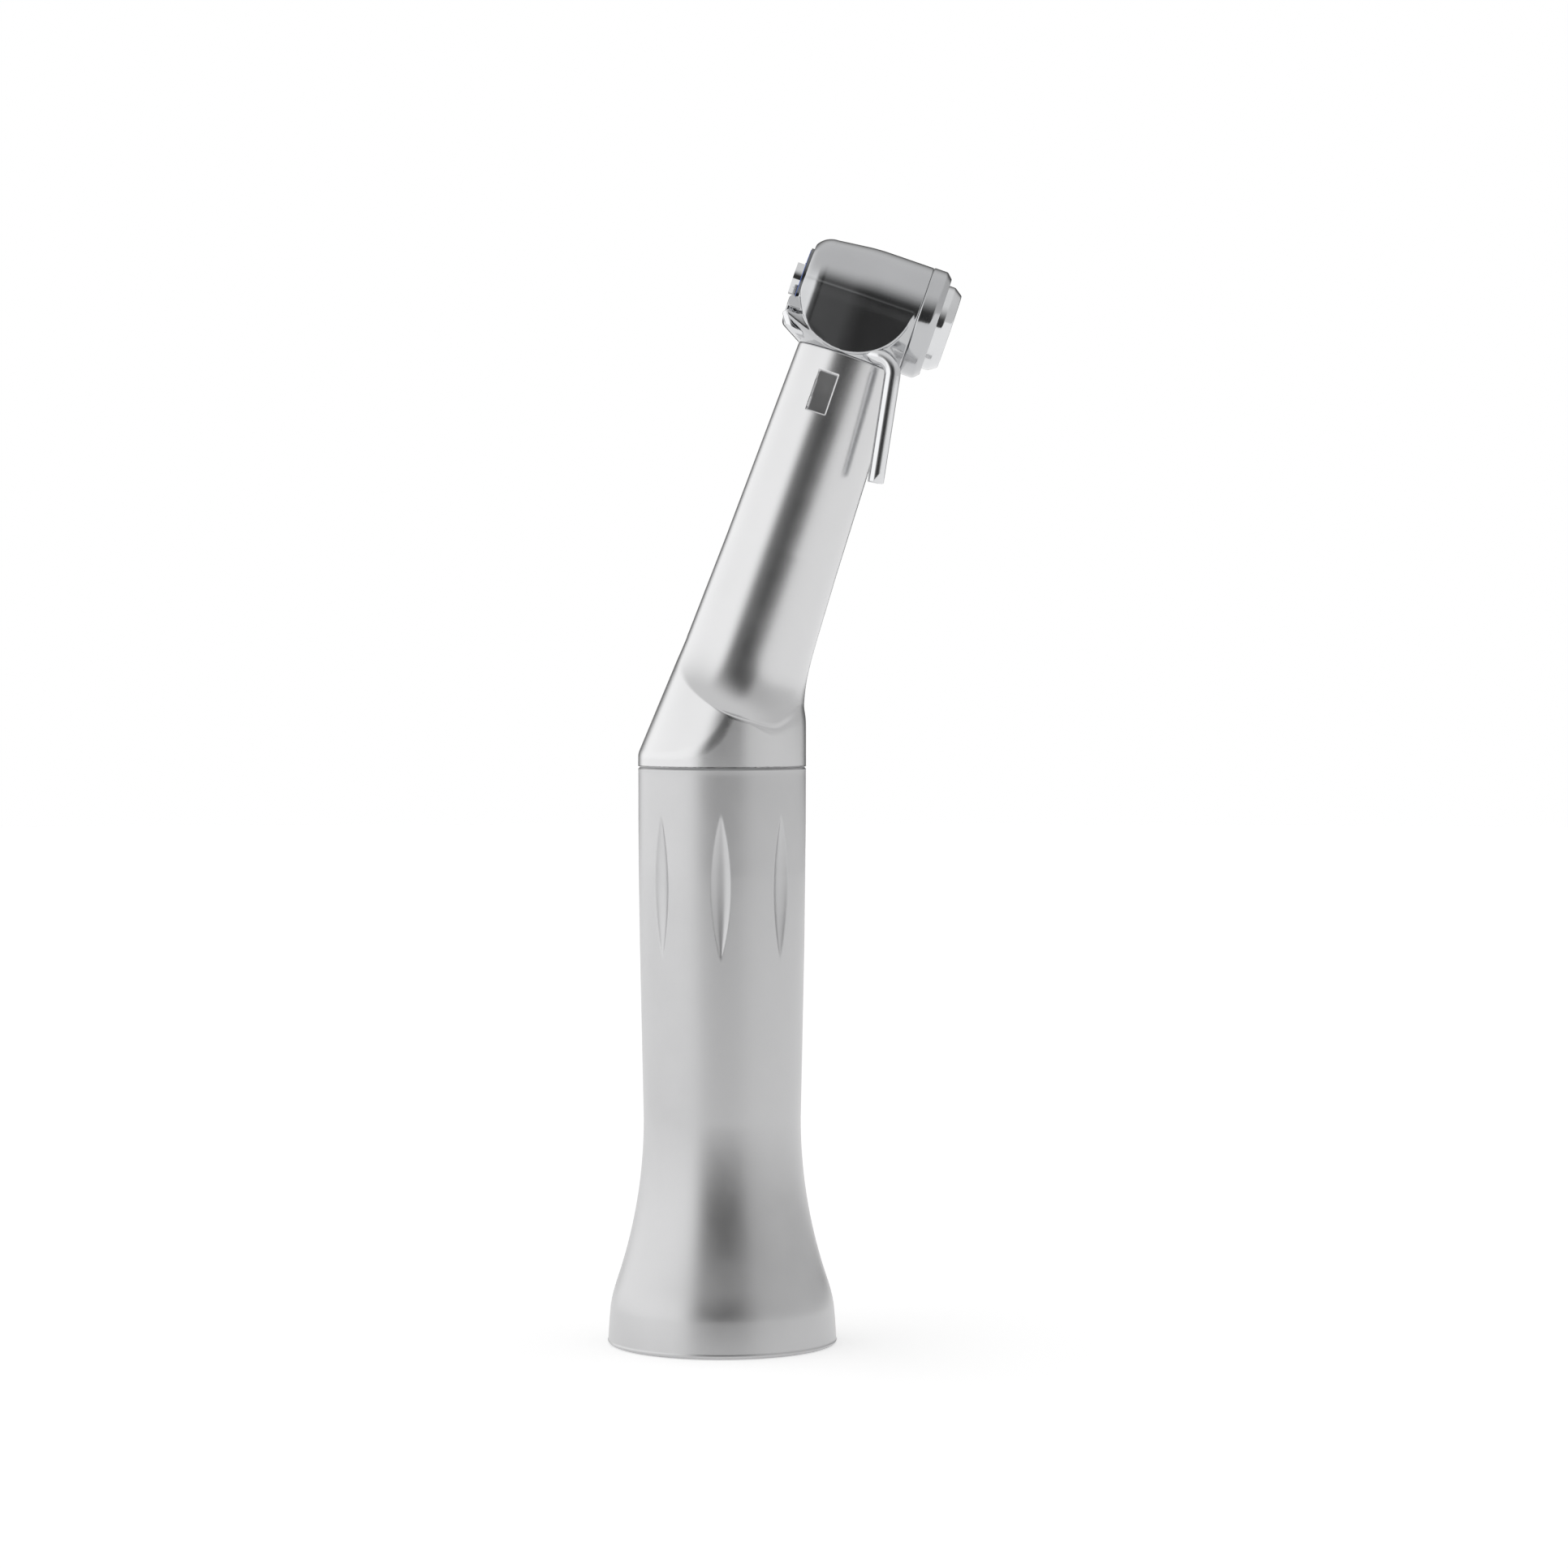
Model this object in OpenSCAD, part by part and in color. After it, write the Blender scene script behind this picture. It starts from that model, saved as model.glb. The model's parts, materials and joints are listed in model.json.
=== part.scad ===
// Reduction contra-angle dental handpiece, 20 turns in for 1 turn out.
// The handle stands on its base rim at z = 0, its axis on +Z. The neck leans towards +X,
// the bur side of the head faces -X and the push button faces +X.

/* [Grip] */
// Radius of the base rim
base_r = 10; // [9.4:0.1:11]
// Radius of the slim waist
waist_r = 6.85; // [6.75:0.05:7.1]
// Height of the waist
waist_z = 19.5; // [17:0.5:21]
// Radius of the hollow flare between rim and waist
flare_r = 43.2; // [38:0.5:52]
// Radius of the grip at its upper end
grip_r = 7.3; // [7.2:0.05:8.4]
// Height of the seam between grip and elbow
seam_z = 50.2; // [50:0.1:52]
// Width of the V groove at the seam
seam_groove = 0.16; // [0.1:0.02:0.3]
// Number of flutes
flutes = 8; // [4:1:12]
// Length of a flute
flute_length = 12.5; // [6:0.5:16]
// Depth of a flute
flute_depth = 0.34; // [0.2:0.02:0.45]
// Width of a flute at its middle
flute_width = 1.7; // [1:0.1:2.4]
// Height of the middle of the flutes
flute_z = 40; // [36:0.5:41]

/* [Coupling] */
// Radius of the coupling mouth
mouth_r = 7.9; // [7.2:0.1:8.4]
// Depth of the coupling mouth
mouth_depth = 4; // [2:0.5:6]
// Radius of the socket for the motor nose
socket_r = 5.4; // [4.6:0.05:5.6]
// Depth of the socket, measured from the base
socket_depth = 24; // [22:0.5:25]
// Wall of the coupling sleeve
sleeve_wall = 0.8; // [0.5:0.05:1]
// Height of the latch groove
latch_z = 13; // [9:0.5:18]
// Travel of the sprung driving dog
dog_travel = 1; // [0.4:0.1:1.2]

/* [Gearbox] */
// Gear module of the planetary stages
planet_module = 0.27; // [0.24:0.005:0.275]
// Teeth of each sun gear
sun_teeth = 12; // [12:12:12]
// Teeth of each planet
planet_teeth = 12; // [12:12:12]
// Planets in each stage
planets = 3; // [3:3:3]
// Face width of the first stage
stage_1_width = 3; // [2.4:0.1:3.2]
// Face width of the second stage
stage_2_width = 3.6; // [3:0.1:3.8]
// Radius of a planet pin
pin_r = 0.6; // [0.45:0.05:0.7]
// Wall of the gear sleeve
cartridge_wall = 0.5; // [0.4:0.05:0.6]
// Radius of the handle shafts
shaft_r = 1.5; // [1.3:0.05:1.6]

/* [Elbow] */
// Angle between handle and neck
bend = 19; // [15:0.5:22]
// Height of the point where the handle and neck axes cross
elbow_z = 53.6; // [53.6:0.1:55]
// Teeth of each elbow gear
elbow_teeth = 24; // [20:1:26]
// Cone distance of the elbow gears
elbow_cone = 4.5; // [4.2:0.05:4.55]
// Radius of the elbow shell around the tilted axis
elbow_r = 7.3; // [7.2:0.05:7.8]
// Offset of that tilted axis from the neck axis
elbow_offset = 1.54; // [1.3:0.02:1.7]

/* [Neck] */
// Distance from the bend to the seam below the head
neck_length = 33.8; // [31:0.1:38]
// Radius of the neck at its upper end
neck_top_r = 4.57; // [4.5:0.01:4.8]
// Radius of the neck just above the elbow
neck_root_r = 5.425; // [5.3:0.01:5.8]
// Radius of the neck bearing tube
neck_tube_r = 3.1; // [3:0.05:3.3]
// Radius of the neck shaft in its bearings
neck_shaft_r = 1; // [0.8:0.05:1.1]
// Height of the side pockets along the neck
pocket_height = 3.5; // [2:0.1:5]
// Width of the side pockets
pocket_width = 1.6; // [1:0.1:2.4]
// Depth of the side pockets
pocket_depth = 0.6; // [0.3:0.05:0.65]

/* [Head] */
// Radius of the head barrel
head_r = 4.75; // [4.7:0.01:5.2]
// Distance from the head axis to the seam below the head
head_rise = 5.1; // [5.05:0.01:5.4]
// Distance from the neck axis to the bur-side face
bur_face = 6.1; // [6.1:0.05:6.5]
// Distance from the neck axis to the cap seam
cap_seam = 4.45; // [4.4:0.01:4.6]
// Radius of the round flats on both sides of the head
cheek_r = 5; // [4.8:0.05:5.1]
// Teeth of the pinion on the neck shaft
pinion_teeth = 16; // [16:1:16]
// Teeth of the crown gear on the spindle
crown_teeth = 20; // [20:1:20]
// Cone distance of the head gears
head_cone = 3.7; // [3.5:0.02:3.74]
// Radius of the button at its foot
button_r = 3.75; // [3.4:0.05:3.8]
// Travel of the push button
button_travel = 0.8; // [0.4:0.05:0.85]

/* [Instrument] */
// Radius of the instrument shank
shank_r = 1.175; // [1.175:0.001:1.176]
// Clearance around the shank
shank_clearance = 0.015; // [0.01:0.005:0.03]
// Radius of the chuck spindle
spindle_r = 1.5875; // [1.55:0.0125:1.6]
// How far the chuck nose stands out of the bur-side face
nose_out = 0.75; // [0.4:0.05:1]

/* [Irrigation] */
// Outer radius of the irrigation tube
tube_r = 0.7; // [0.6:0.05:0.75]
// Bore radius of the irrigation tube
tube_bore_r = 0.45; // [0.3:0.05:0.5]
// Outer radius of the spray nozzle
nozzle_r = 0.5; // [0.4:0.02:0.55]

/* [Hidden] */
$fn = 72;

// ---- clearances ----
running_gap = 0.05;
ball_gap = 0.03;
side_gap = 0.3;
tooth_play = 0.05;
see_through = 1;

// ---- radii that stack from the outside of the grip inwards ----
cartridge_r = socket_r + sleeve_wall;
ring_gear_r = cartridge_r - cartridge_wall;
collar_r = mouth_r + cartridge_wall;

// ---- gear data ----
pressure_angle = 25;
addendum = 0.8;
dedendum = 1;
ring_teeth = sun_teeth + 2 * planet_teeth;
sun_pitch_r = planet_module * sun_teeth / 2;
planet_pitch_r = planet_module * planet_teeth / 2;
planet_arm = sun_pitch_r + planet_pitch_r;
elbow_cone_angle = (180 - bend) / 2;
pinion_cone_angle = atan(pinion_teeth / crown_teeth);
crown_cone_angle = 90 - pinion_cone_angle;
elbow_face = 1.3;
head_face = 1.1;

// ---- heights in the handle, along Z ----
nut_z = socket_depth + 2;
nut_lip = 0.8;
handle_bearing_width = 2.4;
input_bearing_z = nut_z + nut_lip;
nut_top = input_bearing_z + handle_bearing_width;
stage_1_z = nut_top + 0.6;
sun_1_z = stage_1_z - 0.1;
carrier_1_z = stage_1_z + stage_1_width + side_gap;
carrier_1_plate = 1;
sun_2_z = carrier_1_z + carrier_1_plate;
stage_2_z = sun_2_z + 0.5;
carrier_2_z = stage_2_z + stage_2_width + side_gap;
carrier_2_plate = 1.4;
carrier_2_hub = 1.3;
ring_gear_top = carrier_2_z + carrier_2_plate + carrier_2_hub;
web_thickness = 3.2;
web_top = ring_gear_top + web_thickness;
cartridge_top = elbow_z - 3.6;
output_bearing_z = cartridge_top - 0.2 - handle_bearing_width;
cartridge_nose_r = cartridge_r - 1;
spigot_z = web_top + 0.2;
bush_r = shaft_r + 1;
sun_bore_r = 0.75;

// ---- driving dog and its cross pin ----
dog_r = 2.4;
dog_z = nut_z - 5.4;
dog_top = nut_z - 2.2;
dog_floor = 1.2;
dog_pin_r = 0.4;
dog_pin_z = dog_top - 1;
shaft_foot_z = dog_z + dog_travel + 0.2;
spring_stop_z = input_bearing_z - 0.7;

// ---- bearings: bore radius, outer radius, width, ball radius, number of balls ----
handle_bearing_r = 4;
handle_bearing = [shaft_r, handle_bearing_r, handle_bearing_width, 0.7, 8];
neck_bearing = [neck_shaft_r, 2.5, 2.3, 0.4, 9];
bur_side_bearing = [spindle_r, 3.175, 2.2, 0.5, 9];
button_side_bearing = [spindle_r, 3.175, 1.9, 0.5, 9];

// ---- distances along the neck, from the bend ----
neck_lower_bearing_u = 3;
neck_upper_bearing_u = neck_length - 1.5;
neck_tube_foot = neck_lower_bearing_u - 0.2;
neck_tube_top = neck_length + 1.1;
spigot_r = neck_tube_r + 0.8;
spigot_foot = neck_length - 2.8;
head_u = neck_length + head_rise;
pinion_toe_u = head_u - (head_cone - head_face) * cos(pinion_cone_angle) - 0.2;
pinion_room_r = 2.6;
pocket_u = neck_length - 3.7;
pocket_v = -1.2;

// ---- distances along the head axis, positive towards the button ----
bur_side_bearing_v = 0.5 - bur_face;
crown_back_v = bur_side_bearing_v + bur_side_bearing[2];
button_side_bearing_v = 2.6;
cap_thread_v = 3.3;
spindle_top_v = 4.55;
flange_top_v = 5.6;
slot_low_v = 4.8;
slot_high_v = 5.35;
seat_v = button_side_bearing_v + button_side_bearing[2];
seat_thickness = 0.25;
button_flange_v = seat_v + seat_thickness + button_travel + running_gap;
button_flange_h = 0.35;
cap_lip_v = button_flange_v + button_flange_h + running_gap;
cap_top_v = 6.2;
button_plate_v = flange_top_v + button_travel + 0.2;
button_top_v = 7.5;
cap_bore_r = 4.1;
cap_thread_r = 4.15;
nose_v = -bur_face - nose_out;
shank_bore_r = shank_r + shank_clearance;
plunger_r = 1.2;
face_nut_r = 3.3;
seal_r = 2.84;

// ---- coolant route: points are [towards the button, sideways, along the neck from its seam] ----
tube_free_end = [5.65, -4.6, -9.6];
tube_corner = [3.8, -4.66, 0.77];
tube_inner_end = [0.9, -3.8, 0.77];
tube_bend_r = 1.5;
nozzle_free_end = [-6.3, -2.6, 2.05];
nozzle_corner = [-5.4, -3, 0.77];
nozzle_inner_end = [-3.3, -2.6, 0.77];
nozzle_bend_r = 0.8;
nozzle_y = -2.9;
nozzle_u = neck_length + 1.1;
nozzle_lean = 20;
passage_u = neck_length + 0.77;
passage_r = (neck_tube_r + neck_top_r) / 2;

// ---- colours ----
satin = [0.72, 0.72, 0.73];
polished = [0.82, 0.83, 0.85];
steel = [0.6, 0.61, 0.63];
dark_steel = [0.42, 0.43, 0.45];
bronze = [0.72, 0.53, 0.28];
brass = [0.8, 0.66, 0.35];
blue = [0.08, 0.36, 0.75];
black = [0.12, 0.12, 0.13];

// ======================= frames =======================

// Children stand in the neck frame: z along the neck, x towards the button side.
module at_neck() {
    translate([0, 0, elbow_z]) rotate([0, bend, 0]) children();
}

// Children stand in the head frame: z along the spindle towards the button, x towards the handle.
module at_head() {
    at_neck() translate([0, 0, head_u]) rotate([0, 90, 0]) children();
}

// ======================= general shapes =======================

module disc(r, from, to) {
    translate([0, 0, from]) cylinder(r = r, h = to - from);
}

module ring(r_out, r_in, from, to) {
    difference() {
        disc(r_out, from, to);
        disc(r_in, from - see_through, to + see_through);
    }
}

// ---- swept wires ----

function unit(v) = v / norm(v);
function tangent_at(path, i) =
    unit(path[min(i + 1, len(path) - 1)] - path[max(i - 1, 0)]);

// One ring of points square to the path, started from the direction "up"
function sweep_ring(path, i, r, sides, up) =
    let (t = tangent_at(path, i), a = unit(cross(t, up)), b = cross(t, a))
    [for (k = [0 : sides - 1]) path[i] + r * (cos(360 * k / sides) * a + sin(360 * k / sides) * b)];

module sweep(path, r, sides, up) {
    rings = len(path);
    points = [for (i = [0 : rings - 1]) each sweep_ring(path, i, r, sides, up)];
    walls = [for (i = [0 : rings - 2], k = [0 : sides - 1])
        let (low = i * sides, high = low + sides, next = (k + 1) % sides)
        each [[low + k, high + k, high + next], [low + k, high + next, low + next]]];
    first_end = [for (k = [0 : sides - 1]) k];
    last_end = [for (k = [0 : sides - 1]) rings * sides - 1 - k];
    polyhedron(points, concat(walls, [first_end, last_end]), convexity = 6);
}

// Coil spring standing on z = from, whose wire's lowest and highest points are from and to
module spring(coil_r, wire_r, turns, from, to) {
    steps_per_turn = 20;
    steps = turns * steps_per_turn;
    rise = to - from - 2 * wire_r;
    path = [for (i = [0 : steps])
        let (a = 360 * i / steps_per_turn)
        [coil_r * cos(a), coil_r * sin(a), from + wire_r + rise * i / steps]];
    sweep(path, wire_r * 0.98, 8, [0, 0, 1]);
}

// ---- involute teeth ----

function involute(a) = tan(a) * 180 / PI - a;

// Half of the angle that a tooth covers at radius r, for a gear with that pitch radius
function half_tooth(r, pitch_r, half_at_pitch) =
    let (base_r = pitch_r * cos(pressure_angle))
    half_at_pitch + involute(pressure_angle) - involute(acos(min(1, base_r / r)));

// Radii at which a flank gets a point, from its foot to its tip
function flank_radii(pitch_r, foot_r, tip_r, steps) =
    let (start = max(foot_r, pitch_r * cos(pressure_angle)))
    [for (i = [0 : steps]) start + (tip_r - start) * i / steps];

// [radius, angle] of one tooth's outline, from one root to the other
function tooth_outline(pitch_r, foot_r, tip_r, half_at_pitch, steps) =
    let (radii = flank_radii(pitch_r, foot_r, tip_r, steps),
         up = [for (r = radii) [r, -half_tooth(r, pitch_r, half_at_pitch)]],
         down = [for (i = [steps : -1 : 0]) [up[i][0], -up[i][1]]],
         below = foot_r < radii[0] - 0.01)
    concat(below ? [[foot_r, up[0][1]]] : [], up, down, below ? [[foot_r, -up[0][1]]] : []);

function half_angle(teeth, pitch_r, play) = 90 / teeth - play / 2 / pitch_r * 180 / PI;

module spur_outline(teeth, mod, add, ded, play) {
    pitch_r = mod * teeth / 2;
    outline = tooth_outline(pitch_r, pitch_r - ded * mod, pitch_r + add * mod,
        half_angle(teeth, pitch_r, play), 4);
    polygon([for (i = [0 : teeth - 1], p = outline)
        let (a = p[1] + 360 * i / teeth)
        p[0] * [cos(a), sin(a)]]);
}

module spur_gear(teeth, from, width) {
    translate([0, 0, from]) linear_extrude(width)
        spur_outline(teeth, planet_module, addendum, dedendum, tooth_play);
}

// Directions of a bevel gear's teeth from its apex, as [cone angle, angle around the axis].
// The outline is that of the virtual spur gear on the back cone.
function bevel_outline(teeth, cone_angle, cone, steps) =
    let (mod = 2 * cone * sin(cone_angle) / teeth,
         virtual_r = cone * tan(cone_angle),
         outline = tooth_outline(virtual_r, virtual_r - dedendum * mod, virtual_r + addendum * mod,
             90 / teeth * cos(cone_angle) - tooth_play / 2 / virtual_r * 180 / PI, steps))
    [for (i = [0 : teeth - 1], p = outline)
        let (a = cone_angle + (p[0] - virtual_r) / cone * 180 / PI,
             turn = p[1] * p[0] / (cone * sin(a)))
        [a, turn + 360 * i / teeth]];

function bevel_point(cone, p) =
    cone * [sin(p[0]) * cos(p[1]), sin(p[0]) * sin(p[1]), -cos(p[0])];

// Bevel gear with its apex at the origin, its axis on Z and its body below. Its back narrows to a
// hub of radius hub_r, which ends at z = -back. The bore's flats touch a shaft of radius bore_r.
module bevel_gear(teeth, cone_angle, cone, face, bore_r, hub_r, back) {
    outline = bevel_outline(teeth, cone_angle, cone, 2);
    n = len(outline);
    inner = [for (p = outline) bevel_point(cone - face, p)];
    floor_z = min([for (p = inner) p[2]]) - 0.05;
    widest = max([for (k = [1 : n - 1]) outline[k][1] - outline[k - 1][1]]);
    function circle_at(r, z) = [for (p = outline) [r * cos(p[1]), r * sin(p[1]), z]];
    rings = [circle_at(hub_r, -back), [for (p = outline) bevel_point(cone, p)], inner,
        [for (p = inner) [p[0], p[1], floor_z]], circle_at(bore_r / cos(widest / 2), floor_z),
        circle_at(bore_r / cos(widest / 2), -back)];
    polyhedron([for (ring = rings) each ring],
        [for (b = [0 : len(rings) - 1], k = [0 : n - 1])
            let (low = b * n, high = (b + 1) % len(rings) * n, next = (k + 1) % n)
            each [[low + k, high + next, low + next], [low + k, high + k, high + next]]],
        convexity = 6);
}

// ---- ball bearings ----
// b is [bore radius, outer radius, width, ball radius, number of balls]

function ball_circle(b) = (b[0] + b[1]) / 2;
function inner_race_r(b) = ball_circle(b) - b[3] * 0.66;
function outer_race_r(b) = ball_circle(b) + b[3] * 0.66;

module ball_track(b, from) {
    translate([0, 0, from + b[2] / 2])
        rotate_extrude() translate([ball_circle(b), 0]) circle(r = b[3] + ball_gap, $fn = 36);
}

module outer_race(b, from) {
    difference() {
        ring(b[1], outer_race_r(b), from, from + b[2]);
        ball_track(b, from);
    }
}

module inner_race(b, from) {
    difference() {
        ring(inner_race_r(b), b[0], from, from + b[2]);
        ball_track(b, from);
    }
}

// Balls held in a thin cage
module caged_balls(b, from) {
    cage_half = b[3] * 0.36;
    translate([0, 0, from + b[2] / 2]) {
        ring(ball_circle(b) + cage_half, ball_circle(b) - cage_half, -b[3] * 0.7, b[3] * 0.7);
        for (i = [0 : b[4] - 1])
            rotate(360 * i / b[4]) translate([ball_circle(b), 0, 0]) sphere(r = b[3], $fn = 36);
    }
}

// ======================= handle shells =======================

// Outline of the grip: rim, hollow flare, waist and a slow taper up to the seam
module grip_outline() {
    rim_h = 1.6;
    shoulder_z = 4.2;
    shoulder_r = waist_r + flare_r - sqrt(pow(flare_r, 2) - pow(waist_z - shoulder_z, 2));
    taper_z = waist_z + 21.5;
    outside = base_r + see_through;
    difference() {
        square([base_r, seam_z]);
        translate([waist_r + flare_r, waist_z]) circle(r = flare_r, $fn = 360);
        polygon([[waist_r, waist_z], [grip_r, taper_z], [grip_r, seam_z - seam_groove],
            [grip_r - seam_groove, seam_z], [grip_r - seam_groove, seam_z + see_through],
            [outside, seam_z + see_through], [outside, waist_z]]);
        polygon([[base_r, rim_h], [shoulder_r, shoulder_z], [outside, shoulder_z],
            [outside, rim_h]]);
        polygon([[base_r - 0.25, 0], [base_r, 0.25], [outside, 0.25], [outside, -see_through],
            [base_r - 0.25, -see_through]]);
    }
}

// Disc whose round rim cuts one lens-shaped flute
module flute_cutter() {
    rim_r = (pow(flute_width / 2, 2) + pow(flute_depth, 2)) / (2 * flute_depth);
    cutter_r = (pow(flute_length / 2, 2) + pow(flute_depth, 2)) / (2 * flute_depth);
    translate([grip_r - flute_depth + cutter_r, 0, flute_z]) rotate([90, 0, 0])
        rotate_extrude($fn = 180) difference() {
            translate([cutter_r - rim_r, 0]) circle(r = rim_r, $fn = 48);
            translate([cutter_r - 3 * rim_r - 0.2, -rim_r - see_through])
                square([2 * rim_r, 2 * (rim_r + see_through)]);
        }
}

module grip_sleeve() {
    color(satin) difference() {
        rotate_extrude() grip_outline();
        disc(collar_r, -see_through, mouth_depth + 1);
        disc(cartridge_r, 0, seam_z + see_through);
        for (i = [0 : flutes - 1])
            rotate(360 * i / flutes) flute_cutter();
    }
}

module coupling_sleeve() {
    groove_h = 1.2;
    groove_depth = 0.35;
    color(polished) difference() {
        union() {
            disc(collar_r, 0, mouth_depth + 1);
            disc(cartridge_r, 0, socket_depth);
        }
        disc(mouth_r, -see_through, mouth_depth);
        disc(socket_r, 0, socket_depth + see_through);
        disc(socket_r + groove_depth, latch_z - groove_h / 2, latch_z + groove_h / 2);
    }
}

// ======================= elbow and neck shell =======================

// Outline of the neck about its own axis, flaring at its root
module neck_outline() {
    root_u = 5.5;
    middle_u = 16;
    middle_r = neck_top_r + 0.6 * (neck_root_r - neck_top_r);
    blend_r = 5;
    foot_u = -4;
    wide = 14;
    difference() {
        translate([0, foot_u]) square([wide, neck_length - foot_u]);
        polygon([[neck_root_r, root_u], [middle_r, middle_u], [neck_top_r, neck_length],
            [wide + see_through, neck_length + see_through], [wide + see_through, root_u]]);
        translate([neck_root_r + blend_r, root_u]) circle(r = blend_r, $fn = 180);
    }
}

module elbow_outside() {
    draft = 0.064;
    tall = 14;
    low_r = elbow_r + draft * (tall / 2 + 2);
    high_r = elbow_r - draft * (tall / 2 - 2);
    intersection() {
        union() {
            at_neck() rotate_extrude() neck_outline();
            disc(grip_r, seam_z, elbow_z - 0.7);
        }
        union() {
            at_neck() translate([elbow_offset, 0, -tall / 2]) cylinder(r1 = low_r, r2 = high_r, h = tall);
            at_neck() translate([0, 0, tall / 2 - 1]) cylinder(r = neck_root_r + 1, h = neck_length);
        }
        union() {
            disc(grip_r, seam_z, elbow_z + tall);
            at_neck() disc(neck_root_r + 1, tall / 2 - 1, neck_length);
        }
    }
}

module neck_pocket() {
    bevel = 0.15;
    at_neck() for (side = [-1, 1])
        translate([pocket_v, side * neck_top_r, pocket_u]) {
            cube([pocket_width, 2 * pocket_depth, pocket_height], center = true);
            cube([pocket_width + 2 * bevel, 2 * bevel, pocket_height + 2 * bevel], center = true);
        }
}

module neck_shell() {
    gear_room_r = elbow_cone + 0.2;
    color(satin) difference() {
        union() {
            elbow_outside();
            disc(cartridge_r, spigot_z, seam_z + 0.5);
        }
        disc(cartridge_nose_r, spigot_z - see_through, cartridge_top);
        disc(gear_room_r, spigot_z, elbow_z + 0.3);
        at_neck() disc(gear_room_r, -1, neck_tube_foot);
        at_neck() disc(neck_tube_r, 0, neck_length + see_through);
        at_neck() disc(spigot_r, spigot_foot, neck_length + see_through);
        neck_pocket();
    }
}

module neck_tube() {
    seat_r = neck_bearing[1];
    bore_r = seat_r - 0.6;
    color(steel) at_neck() difference() {
        disc(neck_tube_r, neck_tube_foot, neck_tube_top);
        disc(bore_r, 0, neck_length + 2);
        disc(seat_r, 0, neck_lower_bearing_u + neck_bearing[2]);
        disc(seat_r, neck_upper_bearing_u, neck_length + 2);
    }
}

// ======================= gearbox =======================

module gear_sleeve() {
    color(steel) difference() {
        union() {
            disc(cartridge_r, socket_depth, web_top);
            disc(cartridge_nose_r, web_top, cartridge_top);
        }
        disc(ring_gear_r, socket_depth - see_through, ring_gear_top);
        disc(bush_r, ring_gear_top - see_through, web_top);
        disc(bush_r + 0.7, web_top, output_bearing_z);
        disc(handle_bearing_r, output_bearing_z, cartridge_top + see_through);
    }
}

module output_bush() {
    color(bronze) ring(bush_r, shaft_r + running_gap, ring_gear_top, web_top);
}

module ring_gear() {
    color(dark_steel) difference() {
        disc(ring_gear_r, nut_top, ring_gear_top);
        translate([0, 0, nut_top - see_through]) rotate(180 / ring_teeth)
            linear_extrude(ring_gear_top - nut_top + 2 * see_through)
                spur_outline(ring_teeth, planet_module, dedendum, addendum, -tooth_play);
    }
}

module lock_nut() {
    slot_w = 1.2;
    slot_h = 0.5;
    color(brass) difference() {
        ring(ring_gear_r, dog_r + 0.4, nut_z, nut_top);
        disc(handle_bearing_r, input_bearing_z, nut_top + see_through);
        translate([-ring_gear_r, -slot_w / 2, nut_z - see_through])
            cube([2 * ring_gear_r, slot_w, slot_h + see_through]);
    }
}

// Planet pins are pressed into a carrier plate and have a thin head below the planets
module planet_pins(stage_z, top_z) {
    head_h = 0.25;
    for (i = [0 : planets - 1])
        rotate(360 * i / planets) translate([planet_arm, 0, 0]) {
            disc(pin_r, stage_z - running_gap - head_h, top_z);
            disc(pin_r + 0.3, stage_z - running_gap - head_h, stage_z - running_gap);
        }
}

// Planet number i of a stage. A gap between two of its teeth meets a tooth of the sun.
module planet(i, from, width) {
    rotate(360 * i / planets) translate([planet_arm, 0, 0]) difference() {
        rotate(180 / planet_teeth) spur_gear(planet_teeth, from, width);
        disc(pin_r + running_gap, from - see_through, from + width + see_through);
    }
}

module sun(from, to) {
    difference() {
        spur_gear(sun_teeth, from, to - from);
        disc(sun_bore_r, from - see_through, to + see_through);
    }
}

module carrier_plate(from, thickness) {
    difference() {
        disc(planet_arm + 2 * pin_r, from, from + thickness);
        for (i = [0 : planets - 1])
            rotate(360 * i / planets) translate([planet_arm, 0, 0])
                disc(pin_r, from - see_through, from + thickness + see_through);
    }
}

module carrier_1() {
    color(steel) {
        carrier_plate(carrier_1_z, carrier_1_plate);
        disc(sun_bore_r, sun_2_z, stage_2_z + stage_2_width);
    }
}

module carrier_2() {
    color(steel) {
        carrier_plate(carrier_2_z, carrier_2_plate);
        disc(shaft_r + 0.6, carrier_2_z + carrier_2_plate, ring_gear_top - side_gap);
        disc(shaft_r, carrier_2_z + carrier_2_plate, elbow_z - gear_floor(elbow_cone_angle));
        disc(shaft_r + 0.5, output_bearing_z - 0.5, output_bearing_z);
    }
}

// Depth of an elbow gear's flat middle below its apex
function gear_floor(cone_angle) =
    let (mod = 2 * elbow_cone * sin(cone_angle) / elbow_teeth,
         root_angle = cone_angle - dedendum * mod / elbow_cone * 180 / PI)
    (elbow_cone - elbow_face) * cos(root_angle) + 0.05;

module drive_gear() {
    back = elbow_z - output_bearing_z - handle_bearing_width;
    color(dark_steel) translate([0, 0, elbow_z])
        bevel_gear(elbow_teeth, elbow_cone_angle, elbow_cone, elbow_face, shaft_r, shaft_r + 0.6, back);
}

// ======================= input side =======================

module input_shaft() {
    color(steel) difference() {
        union() {
            disc(shaft_r, shaft_foot_z, sun_1_z);
            disc(dog_r, spring_stop_z, input_bearing_z);
            disc(sun_bore_r, sun_1_z, stage_1_z + stage_1_width);
        }
        dog_pin();
    }
}

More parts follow.
